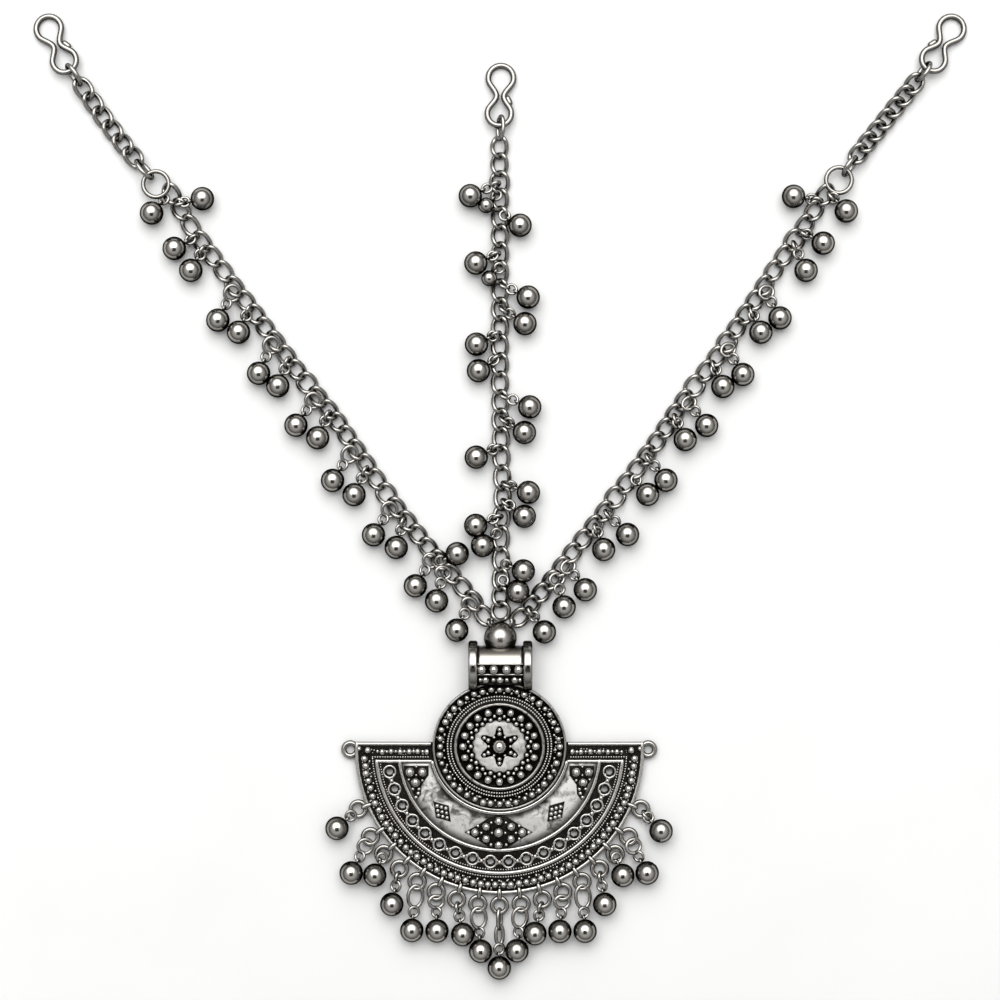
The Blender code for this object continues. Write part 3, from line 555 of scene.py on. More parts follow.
for name, pixels in LINKS.items():
    heap = Heap()
    places = [at(x, y, STRAND_RISE + STRAND_WIRE / 2) for x, y in pixels]
    for number, middle in enumerate(places):
        before, after = places[max(number - 1, 0)], places[min(number + 1, len(places) - 1)]
        if name == "strand_centre" and number == 0:
            raised = middle + (0, 0.4 * MM, 0.5 * MM)
            heap.add(link(raised, after - before, 6.6 * MM, 3.6 * MM, STRAND_WIRE, 0, math.radians(58)))
            continue
        spacing = np.linalg.norm(after - before) / (2 if 0 < number < len(places) - 1 else 1)
        width = WIDE_WIDTH if number in WIDE[name] else STRAND_WIDTH
        rise = TWIST[name] * STRAND_RISE
        heap.add(link(middle, after - before, spacing + STRAND_LAP, width, STRAND_WIRE, rise))
    heap.piece(name + "_links", wire_silver, "strand_silver", name)

# %% [markdown]
# A ball hangs from the strand by its eye, a small soldered ring, and a jump ring. The table repeats the CAD
# source: the share of the strand where it hangs, then how far across and up the ball lies, in ball sizes.

# %% Balls of the strands
BALL = 5.8 * MM
SMALL_BALL = 3.9 * MM
ROUTE_SPREAD = 107 * MM
ROUTE_HEIGHT = 169 * MM
ROUTES = {
    "strand_left": [
        (-0.762, 0.800), (-0.732, 0.779), (-0.658, 0.713), (-0.580, 0.650), (-0.487, 0.570), (-0.391, 0.490),
        (-0.285, 0.391), (-0.188, 0.309), (-0.113, 0.253), (-0.059, 0.213), (-0.036, 0.191),
    ],
    "strand_right": [
        (0.754, 0.805), (0.722, 0.780), (0.677, 0.738), (0.628, 0.693), (0.565, 0.628), (0.474, 0.548),
        (0.402, 0.485), (0.316, 0.407), (0.241, 0.343), (0.167, 0.283), (0.095, 0.227), (0.047, 0.189),
    ],
    "strand_centre": [
        (0.002, 0.898), (0.000, 0.848), (0.000, 0.751), (0.001, 0.606), (0.002, 0.461), (0.007, 0.392),
        (0.004, 0.302), (0.003, 0.185),
    ],
}
BALLS = {
    "strand_left": [
        (0.001, -0.63, -0.72), (0.021, 1.20, 0.20), (0.094, -0.97, -0.55), (0.120, -0.59, -1.02),
        (0.215, -0.74, -1.45), (0.263, -0.51, -1.12), (0.338, -0.65, -1.51), (0.385, -0.47, -1.19),
        (0.472, -0.89, -1.31), (0.513, -0.50, -1.12), (0.596, -0.90, -1.40), (0.640, -0.55, -1.17),
        (0.724, -0.83, -1.33), (0.761, -0.34, -1.24), (0.850, -0.79, -1.30), (0.880, -0.33, -1.43),
        (0.864, 0.76, 0.31), (0.959, -0.64, -1.32),
    ],
    "strand_right": [
        (0.001, 0.73, -0.78), (0.019, -1.21, 0.18), (0.090, 0.94, -0.53), (0.114, 0.53, -1.22),
        (0.218, 0.68, -1.33), (0.264, 0.42, -1.03), (0.349, 0.74, -1.27), (0.389, 0.42, -1.06),
        (0.477, 0.88, -1.13), (0.516, 0.46, -1.05), (0.607, 0.82, -1.08), (0.654, 0.66, -0.82),
        (0.739, 0.94, -1.00), (0.772, 0.37, -1.06), (0.866, 0.87, -1.15), (0.893, 0.36, -1.40),
        (0.974, 0.68, -1.03),
    ],
    "strand_centre": [
        (0.109, -1.23, -0.56), (0.169, 0.87, -0.56), (0.252, -1.00, -0.44), (0.314, 1.20, -0.58),
        (0.362, 1.06, -0.71), (0.414, -0.99, -0.49), (0.462, -0.91, -0.62), (0.539, 1.25, -0.54),
        (0.588, 1.02, -0.63), (0.646, -1.04, -0.48), (0.720, 1.09, -0.41), (0.756, 0.93, -0.69),
        (0.788, -1.10, -0.40), (0.815, -0.80, -0.68), (0.883, 0.94, -0.35), (0.916, 0.71, -0.54),
    ],
}
SMALL_BALLS = {"strand_centre": [(0.129, -0.56, -0.55), (0.282, -0.44, -0.46)]}


def on_route(name, share):
    """The point at this share of a strand's length."""
    spots = [(x * ROUTE_SPREAD, y * ROUTE_HEIGHT, 0) for x, y in ROUTES[name]]
    even = smooth(spots, 401)
    return even[min(int(round(share * 400)), 400)]


EYE = (1.8 * MM, 0.55 * MM)         # across the soldered eye, and its wire
JUMP_RING = (3.2 * MM, 0.78 * MM)   # across the jump ring, and its wire
DROP_WIRE = 0.92 * MM
DROP_LAP = 1.87 * MM
LONG_DROP = 6.6 * MM                # a longer way than this takes one more link
SHORT_DROP = 3.4 * MM


def hanging(rings, balls, start, middle, size, number):
    """One ball with its eye and its jump ring, and the links from there to the point that it hangs from."""
    away = (start - middle) * (1, 1, 0)
    distance = np.linalg.norm(away)
    away = unit(away)
    radius = size / 2

    def beyond(reach, height):
        return (middle + away * reach) * (1, 1, 0) + (0, 0, height)

    balls.add(ball(middle, size, 36, 24))
    rings.add(ring(beyond(radius + 0.35 * MM, 2.7 * MM), *EYE, away, math.radians(80), 20, 8))
    tilt = math.radians(-28 + 45 * (number % 2))
    rings.add(ring(beyond(radius + 1.60 * MM, 2.3 * MM), *JUMP_RING, away, tilt, 24, 8))
    near, far = radius + 2.15 * MM, distance + 0.5 * MM
    if far - near < 1.6 * MM:
        return
    count = math.ceil((far - near) / LONG_DROP)
    length = max((far - near + (count - 1) * DROP_LAP) / count, SHORT_DROP)
    wide = distance > 8.2 * MM and count == 1
    width = (4.6 if wide else 2.9) * MM
    for place in range(count):
        reach = far - length / 2 - place * (length - DROP_LAP)
        roll = math.radians(16 if wide else 66 - 40 * place)
        rings.add(link(beyond(reach, 1.9 * MM), away, length, width, DROP_WIRE, 0, roll))


for name in ROUTES:
    rings, balls = Heap(), Heap()
    rows = [(row, BALL) for row in BALLS[name]] + [(row, SMALL_BALL) for row in SMALL_BALLS.get(name, [])]
    for number, ((share, across, up), size) in enumerate(rows):
        start = on_route(name, share)
        middle = start + np.array([across * BALL, up * BALL, 0])
        middle[2] = BALL / 2
        hanging(rings, balls, start, middle, size, number)
    rings.piece(name + "_jump_rings", wire_silver, "strand_silver")
    balls.piece(name + "_balls", ball_silver, "strand_silver")

# %% [markdown]
# The fringe hangs from loops on the plate's edge. Each ball has an upright connector link round its loop's
# wire, then a jump ring and the ball's eye.

# %% Fringe
PLATE_MIDDLE = np.array([0, -0.5 * MM, 0])
FRINGE = [
    (-0.94, -0.41), (-0.80, -1.50), (-0.37, -0.87), (-0.31, -1.46), (-0.21, -2.02), (0.04, -1.61),
    (0.26, -1.45), (0.12, -1.96), (-0.01, -2.60), (-0.18, -1.94), (-0.32, -1.41), (-0.13, -1.63),
    (0.12, -2.05), (0.21, -1.46), (0.31, -0.88), (0.77, -1.50), (0.90, -0.52),
]


def on_plate(radius, angle):
    """A point of the half-moon, by radius in millimetres and angle in degrees."""
    return around_arc(PLATE_MIDDLE, radius * MM, angle, angle, 1)[0]


drop_places = np.array([on_plate(38.2, angle) for angle in np.linspace(180 + 26, 360 - 26, 17)])
loop_places = drop_places.copy()
for end, angle in ((0, 180 + 22.8), (-1, 360 - 22.8)):
    loop_places[end] = on_plate(37.6, angle)
connectors, fringe_balls = Heap(), Heap()
for number, ((across, up), drop, loop_middle) in enumerate(zip(FRINGE, drop_places, loop_places)):
    middle = drop + np.array([across * BALL, up * BALL, BALL / 2])
    inside = unit(middle - loop_middle) * (1, 1, 0) * 0.9 * MM
    hanging(connectors, fringe_balls, loop_middle + inside, middle, BALL, number + 1)
drop_names = [f"fringe_drop_{number + 1:02d}" for number in range(17)]
connectors.piece("fringe_links", wire_silver, "drop_silver", *drop_names)
fringe_balls.piece("fringe_balls", ball_silver, "drop_silver")

# %% [markdown]
# The half-moon is a sheet, sawn to its outline and pierced in eighteen places, with everything else
# soldered on top. A filled 2-D curve makes such a sheet: its first spline is the outline and the others
# are holes, and a small bevel rounds the sawn edge.

# %% The pierced sheet
PLATE_RADIUS = 35.4 * MM
PLATE_TOP = 1.35 * MM
SHEET = 1.6 * MM
SEAT = 16.3 * MM
MEDALLION_SQUASH = 0.962
BOSS = np.array([0, 0.4 * MM, 0])
SCROLL_RADIUS = 27.5   # in millimetres, as on_plate takes it
SCROLL_ANGLES = np.linspace(180 + 11.3, 360 - 11.3, 18)
HOLE_RADIUS = 0.80 * MM


def sheet(name, outlines, low, high, finish, slot, *nodes, edge=0.08 * MM):
    """A flat sheet between two heights, with a rounded edge."""
    curve = bpy.data.curves.new(name, "CURVE")
    curve.dimensions = "2D"
    curve.fill_mode = "BOTH"
    curve.extrude = (high - low) / 2 - edge
    curve.bevel_depth = edge
    curve.offset = -edge
    for outline in outlines:
        spline = curve.splines.new("POLY")
        spline.points.add(len(outline) - 1)
        for spot, (x, y) in zip(spline.points, np.asarray(outline)[:, :2]):
            spot.co = (x, y, 0, 1)
        spline.use_cyclic_u = True
    holder = bpy.data.objects.new(name, curve)
    bpy.context.scene.collection.objects.link(holder)
    bpy.context.view_layer.update()
    mesh = bpy.data.meshes.new_from_object(holder.evaluated_get(bpy.context.evaluated_depsgraph_get()))
    bpy.data.objects.remove(holder)
    mesh.transform(Matrix.Translation((0, 0, (low + high) / 2)))
    weld = bmesh.new()
    weld.from_mesh(mesh)
    bmesh.ops.remove_doubles(weld, verts=weld.verts, dist=1e-6)
    weld.to_mesh(mesh)
    weld.free()
    dress(name, mesh, finish, slot, *nodes)
    mesh.set_sharp_from_angle(angle=math.radians(35))


def plate_arc(radius, top, count=110):
    """The half-moon's curved edge at a radius, from the right to the left, as far up as top."""
    lift = math.degrees(math.asin((top - PLATE_MIDDLE[1]) / radius))
    return around_arc(PLATE_MIDDLE, radius, lift, -180 - lift, count)


seat_lift = math.degrees(math.asin(PLATE_TOP / SEAT))
outline = np.vstack([
    plate_arc(PLATE_RADIUS, PLATE_TOP, 120),
    around_arc((0, 0, 0), SEAT, -180 - seat_lift, seat_lift, 80, MEDALLION_SQUASH),
])
hole_middles = [on_plate(SCROLL_RADIUS, angle) for angle in SCROLL_ANGLES]
holes = [around_arc(middle, HOLE_RADIUS, 0, 345, 24) for middle in hole_middles]
sheet("half_moon_sheet", [outline, *holes], 0, SHEET, black_ground, "plate_silver", "half_moon")

# %% [markdown]
# Rims are half-round wire laid on the sheet: round its edge, above and below the scroll band, and as a
# collar under the medallion. Each arc is swept along its own radius, and straight wires close the top bar,
# from the medallion's seat to the arc that they meet.

# %% Rims
RIM_Z = SHEET + 0.15 * MM
OUTER_RIM, BAND_RIM, FIELD_RIM = 35.0 * MM, 30.25 * MM, 24.65 * MM
SEAT_REACH = 17.0 * MM
COLLAR_RADIUS, COLLAR_SQUASH = 16.85 * MM, 0.95
rims = Heap()
for radius, top in ((OUTER_RIM, 1.0 * MM), (BAND_RIM, -3.25 * MM), (FIELD_RIM, -3.25 * MM)):
    rims.add(wire(plate_arc(radius, top) + (0, 0, RIM_Z), 0.50 * MM, closed=False))
collar = around_arc((0, 0, RIM_Z + 0.1 * MM), COLLAR_RADIUS, -167, -13, 90, COLLAR_SQUASH)
rims.add(wire(collar, 0.64 * MM, closed=False))
for side in (-1, 1):
    for y, radius in ((0.95 * MM, OUTER_RIM), (-3.3 * MM, BAND_RIM)):
        near = math.sqrt(SEAT_REACH ** 2 - (y / MEDALLION_SQUASH) ** 2)
        far = math.sqrt(radius ** 2 - (y - PLATE_MIDDLE[1]) ** 2)
        path = np.stack([np.linspace(near, far, 24) * side, np.full(24, y), np.full(24, RIM_Z)], 1)
        rims.add(wire(path, 0.44 * MM, closed=False))
rims.piece("half_moon_rims", relief_silver, "plate_silver")

# %% [markdown]
# The scroll band is a row of wire rings, one round each hole. Short wires cross between each two rings,
# and a grain covers the crossing, so the row reads as two wires that weave past each other.

# %% Scroll rings
scroll = Heap()
for middle in hole_middles:
    scroll.add(ring(middle + (0, 0, SHEET + 0.14 * MM), 3.45 * MM, 0.52 * MM, stations=32, sides=8))
for angle in (SCROLL_ANGLES[1:] + SCROLL_ANGLES[:-1]) / 2:
    knot = on_plate(SCROLL_RADIUS, angle)
    out = unit(knot - PLATE_MIDDLE)
    along = np.array([-out[1], out[0], 0])
    scroll.add(ball(knot + (0, 0, SHEET + 0.40 * MM), 1.15 * MM))
    for cross in (1, -1):
        reach = (1.35 * along + 0.95 * cross * out) * MM
        ends = [knot + way * reach + (0, 0, SHEET + 0.1 * MM) for way in (-1, 0, 1)]
        scroll.add(wire(ends, 0.25 * MM, closed=False, sides=8))
scroll.piece("half_moon_scroll", relief_silver, "plate_silver")

# %% [markdown]
# Granulation fills the bands. Large grains alternate with small ones in the outer band and along the top
# bar, and tiny granules, sprinkled by chance with a fixed seed, fill in between. Clusters, a diamond and
# two rhombi of grains stand on the plain field. Their pixels are given for the left side, and mirrored.

# %% Grains of the half-moon
chance = np.random.RandomState(11)
grains = Heap()


def grain(heap, place, size, ground=SHEET, wobble=0.0):
    """A soldered grain, sunk into its ground and set a little off its place by hand."""
    spot = np.array(place, float)
    spot[:2] += chance.uniform(-wobble, wobble, 2)
    spot[2] = ground + size * 0.22
    heap.add(ball(spot, size * (1 + chance.uniform(-0.06, 0.06))))


def sprinkle(heap, count, places, ground):
    """Many tiny granules at the places that a function gives for two chance numbers."""
    for first, second in chance.uniform(0, 1, (count, 2)):
        size = chance.uniform(0.30, 0.55) * MM
        spot = np.array(places(first, second), float)
        spot[2] = ground + size * 0.2
        heap.add(ball(spot, size, 8, 6))


for angle in np.linspace(183.5, 356.5, 54):
    grain(grains, on_plate(33.1, angle), 1.8 * MM, wobble=0.12 * MM)
for angle in np.linspace(185.1, 354.9, 53):
    grain(grains, on_plate(33.8, angle), 0.6 * MM, wobble=0.12 * MM)
    grain(grains, on_plate(32.1, angle), 0.65 * MM, wobble=0.10 * MM)
sprinkle(grains, 240, lambda a, b: on_plate(31.8 + 2.5 * a, 183 + 174 * b), SHEET)
for side in (-1, 1):
    for number, x in enumerate(np.arange(17.8, 31.0, 1.1)):
        size = (1.5 if number % 2 == 0 else 0.9) * MM
        grain(grains, (side * x * MM, -0.9 * MM, 0), size, wobble=0.08 * MM)
    sprinkle(grains, 30, lambda a, b: (side * (17.6 + 14 * a) * MM, (-0.1 - 1.6 * b) * MM, 0), SHEET)
    grain(grains, (side * 32.3 * MM, -0.6 * MM, 0), 1.75 * MM)
    grain(grains, (side * 34.4 * MM, -0.2 * MM, 0), 1.25 * MM, SHEET + 0.3 * MM)

FIELD_GRAINS = [
    (410.0, 772.2, 2.35), (422.4, 772.2, 2.35), (415.5, 782.3, 2.35), (419.0, 789.2, 0.9),
    (413.0, 789.0, 0.9), (418.2, 793.4, 1.0), (416.0, 797.4, 1.0), (416.2, 766.9, 0.7),
    (408.9, 779.6, 0.75), (422.2, 780.4, 0.75), (416.2, 775.4, 0.7),
]
DIAMOND = [
    (0, 0, 2.6), (0, 11.2, 2.1), (0, -12.3, 2.2), (12.4, 5.7, 2.2), (12.4, -6.1, 2.2), (23.5, 0, 2.1),
    (30.2, -0.2, 1.1), (7.3, 9.6, 0.8), (6.6, -0.6, 0.8), (17.3, -0.6, 0.8), (20.6, 6.4, 0.9),
    (20.6, -6.4, 0.9), (7.6, -12.2, 0.9),
]
RHOMBUS = [(434.5, 803.0), (447.8, 806.8), (449.6, 820.8), (436.6, 817.2)]
CLUSTER_MIRROR, RHOMBUS_MIRROR = 998.6, 997.8   # twice the pixel of the line that each is mirrored at
PLAQUE_TOP = SHEET + 0.28 * MM
for px, py, size in FIELD_GRAINS:
    for x in (px, CLUSTER_MIRROR - px):
        grain(grains, at(x, py), size * MM, PLAQUE_TOP)
for dx, dy, size in DIAMOND:
    for side in ((-1, 1) if dx else (1,)):
        grain(grains, at(498.6 + side * dx, 832.5 - dy), size * MM, PLAQUE_TOP)
for side in (0, 1):
    for down in (0.17, 0.5, 0.83):
        for right in (0.17, 0.5, 0.83):
            top, low = [np.array(a) + (np.array(b) - a) * right for a, b in (RHOMBUS[:2], RHOMBUS[:1:-1])]
            x, y = top + (low - top) * down
            grain(grains, at(RHOMBUS_MIRROR - x if side else x, y + 0.9 * side), 1.05 * MM, PLAQUE_TOP)
grains.piece("half_moon_grains", relief_silver, "plate_silver")

# %% [markdown]
# Bead wire is bought by the length and soldered beside the rims. It is a row of tiny beads here, because at
# half a millimetre that is all the eye can tell of it.

# %% Bead wire of the half-moon
beads = Heap()


def bead_row(heap, places, size, ground=SHEET):
    """Beads of one size at each of the places."""
    for place in places:
        spot = np.array(place, float)
        spot[2] = ground + size * 0.25
        heap.add(ball(spot, size, 8, 6))


bead_row(beads, around_arc(PLATE_MIDDLE, 31.2 * MM, 184.0, 356.0, 150), 0.52 * MM)
bead_row(beads, around_arc(PLATE_MIDDLE, 29.4 * MM, 187.0, 353.0, 136), 0.46 * MM)
for side in (-1, 1):
    xs = np.arange(17.5, 31.2, 0.62) * side * MM
    bead_row(beads, [(x, -2.25 * MM, 0) for x in xs], 0.52 * MM)
beads.piece("half_moon_bead_wire", relief_silver, "plate_silver")

# %% [markdown]
# The crescent between collar and inner rim is a plain sheet, a little higher than the black ground. Its
# edges run under the rims, so that no gap shows.

# %% Crescent field
FIELD_RADIUS = 24.3 * MM
FIELD_SEAT = 17.1 * MM
FIELD_TOP = -3.9 * MM
seat_lift = math.degrees(math.asin(-FIELD_TOP / MEDALLION_SQUASH / FIELD_SEAT))
field_outline = np.vstack([
    plate_arc(FIELD_RADIUS, FIELD_TOP, 90),
    around_arc((0, 0, 0), FIELD_SEAT, -180 + seat_lift, -seat_lift, 70, MEDALLION_SQUASH),
])
sheet("half_moon_field", [field_outline], SHEET - 0.3 * MM, SHEET + 0.12 * MM,
      crescent_silver, "plate_silver")

# %% [markdown]
# Each cluster of grains sits on its own thin black plaque, cut close round the grains. The plaques are
# sheets like the field, from outlines in pixels of the left side, which are mirrored for the right.

# %% Plaques under the ornaments
CLUSTER = [
    (403.8, 766.0), (428.6, 766.0), (428.6, 775.5), (421.6, 785.0), (421.0, 794.5), (416.6, 800.5),
    (412.4, 793.0), (409.8, 785.0), (403.8, 776.5),
]
TIPS = [
    (464.2, 832.5), (478.6, 824.6), (490.0, 817.2), (498.6, 815.4), (507.2, 817.2), (518.6, 824.6),
    (533.0, 832.5), (518.6, 840.8), (507.2, 848.6), (498.6, 850.6), (490.0, 848.6), (478.6, 840.8),
]
rhombus_middle = np.mean(RHOMBUS, axis=0)
rhombus_plaque = rhombus_middle + 1.16 * (np.array(RHOMBUS) - rhombus_middle)
PLAQUE_MIRROR = 998.0
mirrored = [[(PLAQUE_MIRROR - x, y) for x, y in outline] for outline in (CLUSTER, rhombus_plaque)]
for number, outline in enumerate((CLUSTER, rhombus_plaque, TIPS, *mirrored)):
    edge = [at(x, y) for x, y in outline]
    sheet(f"half_moon_plaque_{number + 1}", [edge], SHEET, PLAQUE_TOP, black_ground, "plate_silver")

# %% [markdown]
# Seventeen loops carry the fringe, each on a short drop-shaped peg, and a smaller but thicker ring closes
# each corner. All lie flat, level with the sheet that they are soldered to.

# %% Loops
loops = Heap()
for place in loop_places:
    out = unit(place - PLATE_MIDDLE)
    loops.add(ring(place + (0, 0, 1.5 * MM), 4.8 * MM, 1.15 * MM, stations=32))
    peg = np.array([PLATE_MIDDLE + out * reach * MM for reach in (34.4, 34.9, 35.6, 36.3)])
    peg[:, 2] = 2.05 * MM
    loops.add(wire(peg, np.array([0.50, 0.68, 0.66, 0.56]) * MM, closed=False))
for x in (350.0, 648.5):
    loops.add(ring(at(x, 749.8, 1.1 * MM), 4.45 * MM, 1.25 * MM, stations=32))
loops.piece("half_moon_loops", wire_silver, "plate_silver")

# %% [markdown]
# The medallion is turned work: one profile, spun about the upright axis. Its points follow the section from
# the flat back, up the rim, across the two bands, over the inner ring and down into the star field.

# %% Medallion
PROFILE = [
    (0.0, 0.0), (16.0, 0.0), (16.3, 0.25), (16.42, 0.6), (16.42, 2.7), (16.34, 3.0), (16.12, 3.15),
    (15.9, 3.0), (15.75, 2.6), (15.6, 2.5), (13.2, 2.5), (11.35, 2.5), (11.2, 2.6), (11.15, 3.1),
    (10.95, 3.35), (10.75, 3.4), (10.5, 3.3), (10.35, 2.9), (10.3, 2.45), (10.0, 2.4), (8.0, 2.4),
    (0.0, 2.4),
]
AXIS = 1e-4   # a radius of almost nothing, so that the points on the axis stay apart


def spun(profile, steps=128):
    """Turns a profile of radii and heights, in millimetres, about the upright axis."""
    turns = np.arange(steps) * math.tau / steps
    points = []
    for radius, height in profile:
        reach = max(radius, AXIS)
        points += [[reach * math.cos(t), reach * MEDALLION_SQUASH * math.sin(t), height] for t in turns]
    faces = []
    for row in range(len(profile) - 1):
        low, high = row * steps, (row + 1) * steps
        faces += [[low + s, low + (s + 1) % steps, high + (s + 1) % steps, high + s] for s in range(steps)]
    faces += [list(range(steps))[::-1], list(range((len(profile) - 1) * steps, len(profile) * steps))]
    return BOSS + np.array(points) * MM, faces


def relief_by_height(name, low, high, cloud=0.9 * MM):
    """Rubbed silver above one height and black ground below another."""
    material, tree = new_finish(name)
    place = node(tree, "ShaderNodeTexCoord").outputs["Object"]
    height = node(tree, "ShaderNodeSeparateXYZ", {0: place}).outputs[2]
    clouds = node(tree, "ShaderNodeTexNoise", {"Vector": place, "Scale": 1 / cloud, "Detail": 4.0})
    raised = node(tree, "ShaderNodeMapRange", {0: height, 1: low, 2: high}, **EASED)
    worn = node(tree, "ShaderNodeMapRange", {0: clouds, 1: 0.2, 2: 0.5}, **EASED)
    share = node(tree, "ShaderNodeMath", {0: raised, 1: worn}, operation="MULTIPLY")
    colour = node(tree, "ShaderNodeMix", {0: share, 6: linear("181614"), 7: linear("bdbab5")}, **COLOURS)
    end_as_metal(tree, colour.outputs[2], 0.28, clouds, 0.3, 0.05 * MM)
    return material


turned_silver = relief_by_height("turned_silver_rims", 2.7 * MM, 3.1 * MM)
Heap().add(spun(PROFILE)).piece("medallion_boss", turned_silver, "medallion_silver", "medallion")

# %% [markdown]
# The medallion's plain field is a thin sheet with twenty soft scallops, which follow the grains around it.
# A six-pointed star is sawn out of its middle, and the black ground shows through.

# %% Star field
STAR_TIP = ((-19, 3.35), (-11, 4.4), (-4, 5.15), (4, 5.15), (11, 4.4), (19, 3.35), (30, 2.9))


def on_boss(radius, angle):
    """A point of the medallion, by radius in millimetres and angle in degrees."""
    return around_arc(BOSS, radius * MM, angle, angle, 1, MEDALLION_SQUASH)[0]


field_edge = [on_boss(6.45 - 0.25 * math.cos(math.radians(20 * angle)), angle)
              for angle in np.linspace(0, 360, 160, endpoint=False)]
star = [on_boss(reach, tip + turn) for tip in range(90, 450, 60) for turn, reach in STAR_TIP]
sheet("medallion_field", [field_edge, star], 2.3 * MM, 2.95 * MM, satin_silver, "medallion_silver")

# %% [markdown]
# The medallion repeats the half-moon's granulation in rings: a band of uneven grains inside the rim, two
# rows of bead wire, twenty grains round the scallops, and the star's own grains round a large middle one.

# %% Grains and bead wire of the medallion
boss = Heap()
BAND = 2.5 * MM


for angle in np.arange(44) * 360 / 44:
    grain(boss, on_boss(14.65, angle + 90), chance.choice([1.75, 1.6, 1.35]) * MM, BAND, 0.16 * MM)
    grain(boss, on_boss(13.75, angle + 94), 0.7 * MM, BAND, 0.14 * MM)
sprinkle(boss, 130, lambda a, b: on_boss(13.3 + 2.2 * a, 360 * b), BAND)
for angle in np.arange(20) * 18 + 90:
    grain(boss, on_boss(8.95, angle), 2.0 * MM, 2.4 * MM, 0.05 * MM)
    grain(boss, on_boss(7.05, angle), 1.15 * MM, 2.6 * MM, 0.04 * MM)
    grain(boss, on_boss(7.75, angle + 9), 0.95 * MM, 2.45 * MM, 0.04 * MM)
for angle in np.arange(6) * 60 + 90:
    grain(boss, on_boss(4.3, angle), 1.05 * MM, 2.6 * MM)
    grain(boss, on_boss(3.15, angle), 1.15 * MM, 2.6 * MM)
    grain(boss, on_boss(2.65, angle + 30), 0.8 * MM, 2.6 * MM)
grain(boss, BOSS, 3.5 * MM, 2.5 * MM)
boss.piece("medallion_grains", relief_silver, "medallion_silver")
boss_beads = Heap()
for radius, count in ((12.72 * MM, 124), (11.9 * MM, 116)):
    places = around_arc(BOSS, radius, 0, 360 - 360 / count, count, MEDALLION_SQUASH)
    bead_row(boss_beads, places, 0.60 * MM, BAND)
boss_beads.piece("medallion_bead_wire", relief_silver, "medallion_silver")

# %% [markdown]
# The bail is a tube with a flange at each end, cut flat at the back. Its section is a D, swept along X.
# A band of the tube, bounded by two places along Y, is painted silver as a highlight, and the rest is
# painted black, partly as the black round the grains and partly as painted shade.

# %% Bail
BAIL_Y = 20.1 * MM
BAIL_X = 0.2 * MM
BAIL_Z = 2.0 * MM
BARREL_RADIUS = 4.9 * MM
FLANGE_REACH = 6.7 * MM
FLANGE_SECTION = [
    (-1.1, 5.6), (-1.05, 5.85), (-0.85, 6.05), (-0.6, 6.1),
    (0.6, 6.1), (0.85, 6.05), (1.05, 5.85), (1.1, 5.6),
]


def d_bar(sections, steps=40):
    """A bar along X with a round front and a flat back: sections are pairs of x and radius."""
    turns = np.radians(np.linspace(0, 180, steps))
    points, faces = [], []
    for x, radius in sections:
        rim = [(x, BAIL_Y + radius * math.cos(t), BAIL_Z + radius * math.sin(t)) for t in turns]
        points += rim + [(x, BAIL_Y - radius, 0), (x, BAIL_Y + radius, 0)]
    sides = steps + 2
    for row in range(len(sections) - 1):
        low, high = row * sides, (row + 1) * sides
        faces += [[low + s, low + (s + 1) % sides, high + (s + 1) % sides, high + s] for s in range(sides)]
    faces += [list(range(sides))[::-1], list(range((len(sections) - 1) * sides, len(sections) * sides))]
    return np.array(points), faces


def painted_highlight_band_silver(name, low, high, cloud=1.2 * MM):
    """A painted highlight of silver between two places along Y, and black beyond, partly patina and partly
    painted shade.
    """
    material, tree = new_finish(name)
    place = node(tree, "ShaderNodeTexCoord").outputs["Object"]
    clouds = node(tree, "ShaderNodeTexNoise", {"Vector": place, "Scale": 1 / cloud, "Detail": 5.0})
    along = node(tree, "ShaderNodeSeparateXYZ", {0: place}).outputs[1]
    uneven = node(tree, "ShaderNodeMath", {0: clouds, 1: 0.5 * MM, 2: along}, operation="MULTIPLY_ADD")
    above = node(tree, "ShaderNodeMapRange", {0: uneven, 1: low, 2: low + 0.5 * MM}, **EASED)
    below = node(tree, "ShaderNodeMapRange", {0: uneven, 1: high, 2: high + 0.9 * MM, 3: 1.0, 4: 0.0})
    # painted highlight: only the band between the two places is silver; beyond it is black, partly patina
    # and partly painted shade
    share = node(tree, "ShaderNodeMath", {0: above, 1: below}, operation="MULTIPLY")
    colour = node(tree, "ShaderNodeMix", {0: share, 6: linear("191714"), 7: linear("c2bdb4")}, **COLOURS)
    end_as_metal(tree, colour.outputs[2], 0.3, clouds, 0.2, 0.05 * MM)
    return material


barrel_silver = painted_highlight_band_silver("barrel_painted_highlight_band", 20.9 * MM, 23.9 * MM)
barrel = Heap().add(d_bar([(BAIL_X + x * MM, BARREL_RADIUS) for x in np.linspace(-5.7, 5.7, 12)]))
barrel.piece("bail_barrel", barrel_silver, "bail_silver", "bail")
flanges, lens_reflection_beads = Heap(), Heap()
for side in (-1, 1):
    middle = BAIL_X + side * FLANGE_REACH
    flanges.add(d_bar([(middle + x * MM, radius * MM) for x, radius in FLANGE_SECTION]))
    # painted reflection: a black bead on the top of each flange stands for the lens mirrored there
    lens_reflection_beads.add(ball((middle, BAIL_Y + 0.1 * MM, BAIL_Z + 5.85 * MM), 0.85 * MM))
flanges.piece("bail_flanges", wire_silver, "bail_silver")
lens_reflection_beads.piece("bail_painted_lens_reflections", black_ground, "bail_silver")

# %% [markdown]
# A band of grains lies across the barrel between two fine ridges. The photograph gives each grain's pixel,
# and the barrel's round gives its height, so the grains follow the curve when seen from the side.

# %% Grains of the bail
bail_grains = Heap()


def barrel_height(across):
    """How high the barrel's surface is above its axis, at a distance across from it."""
    return math.sqrt(BARREL_RADIUS ** 2 - across ** 2)


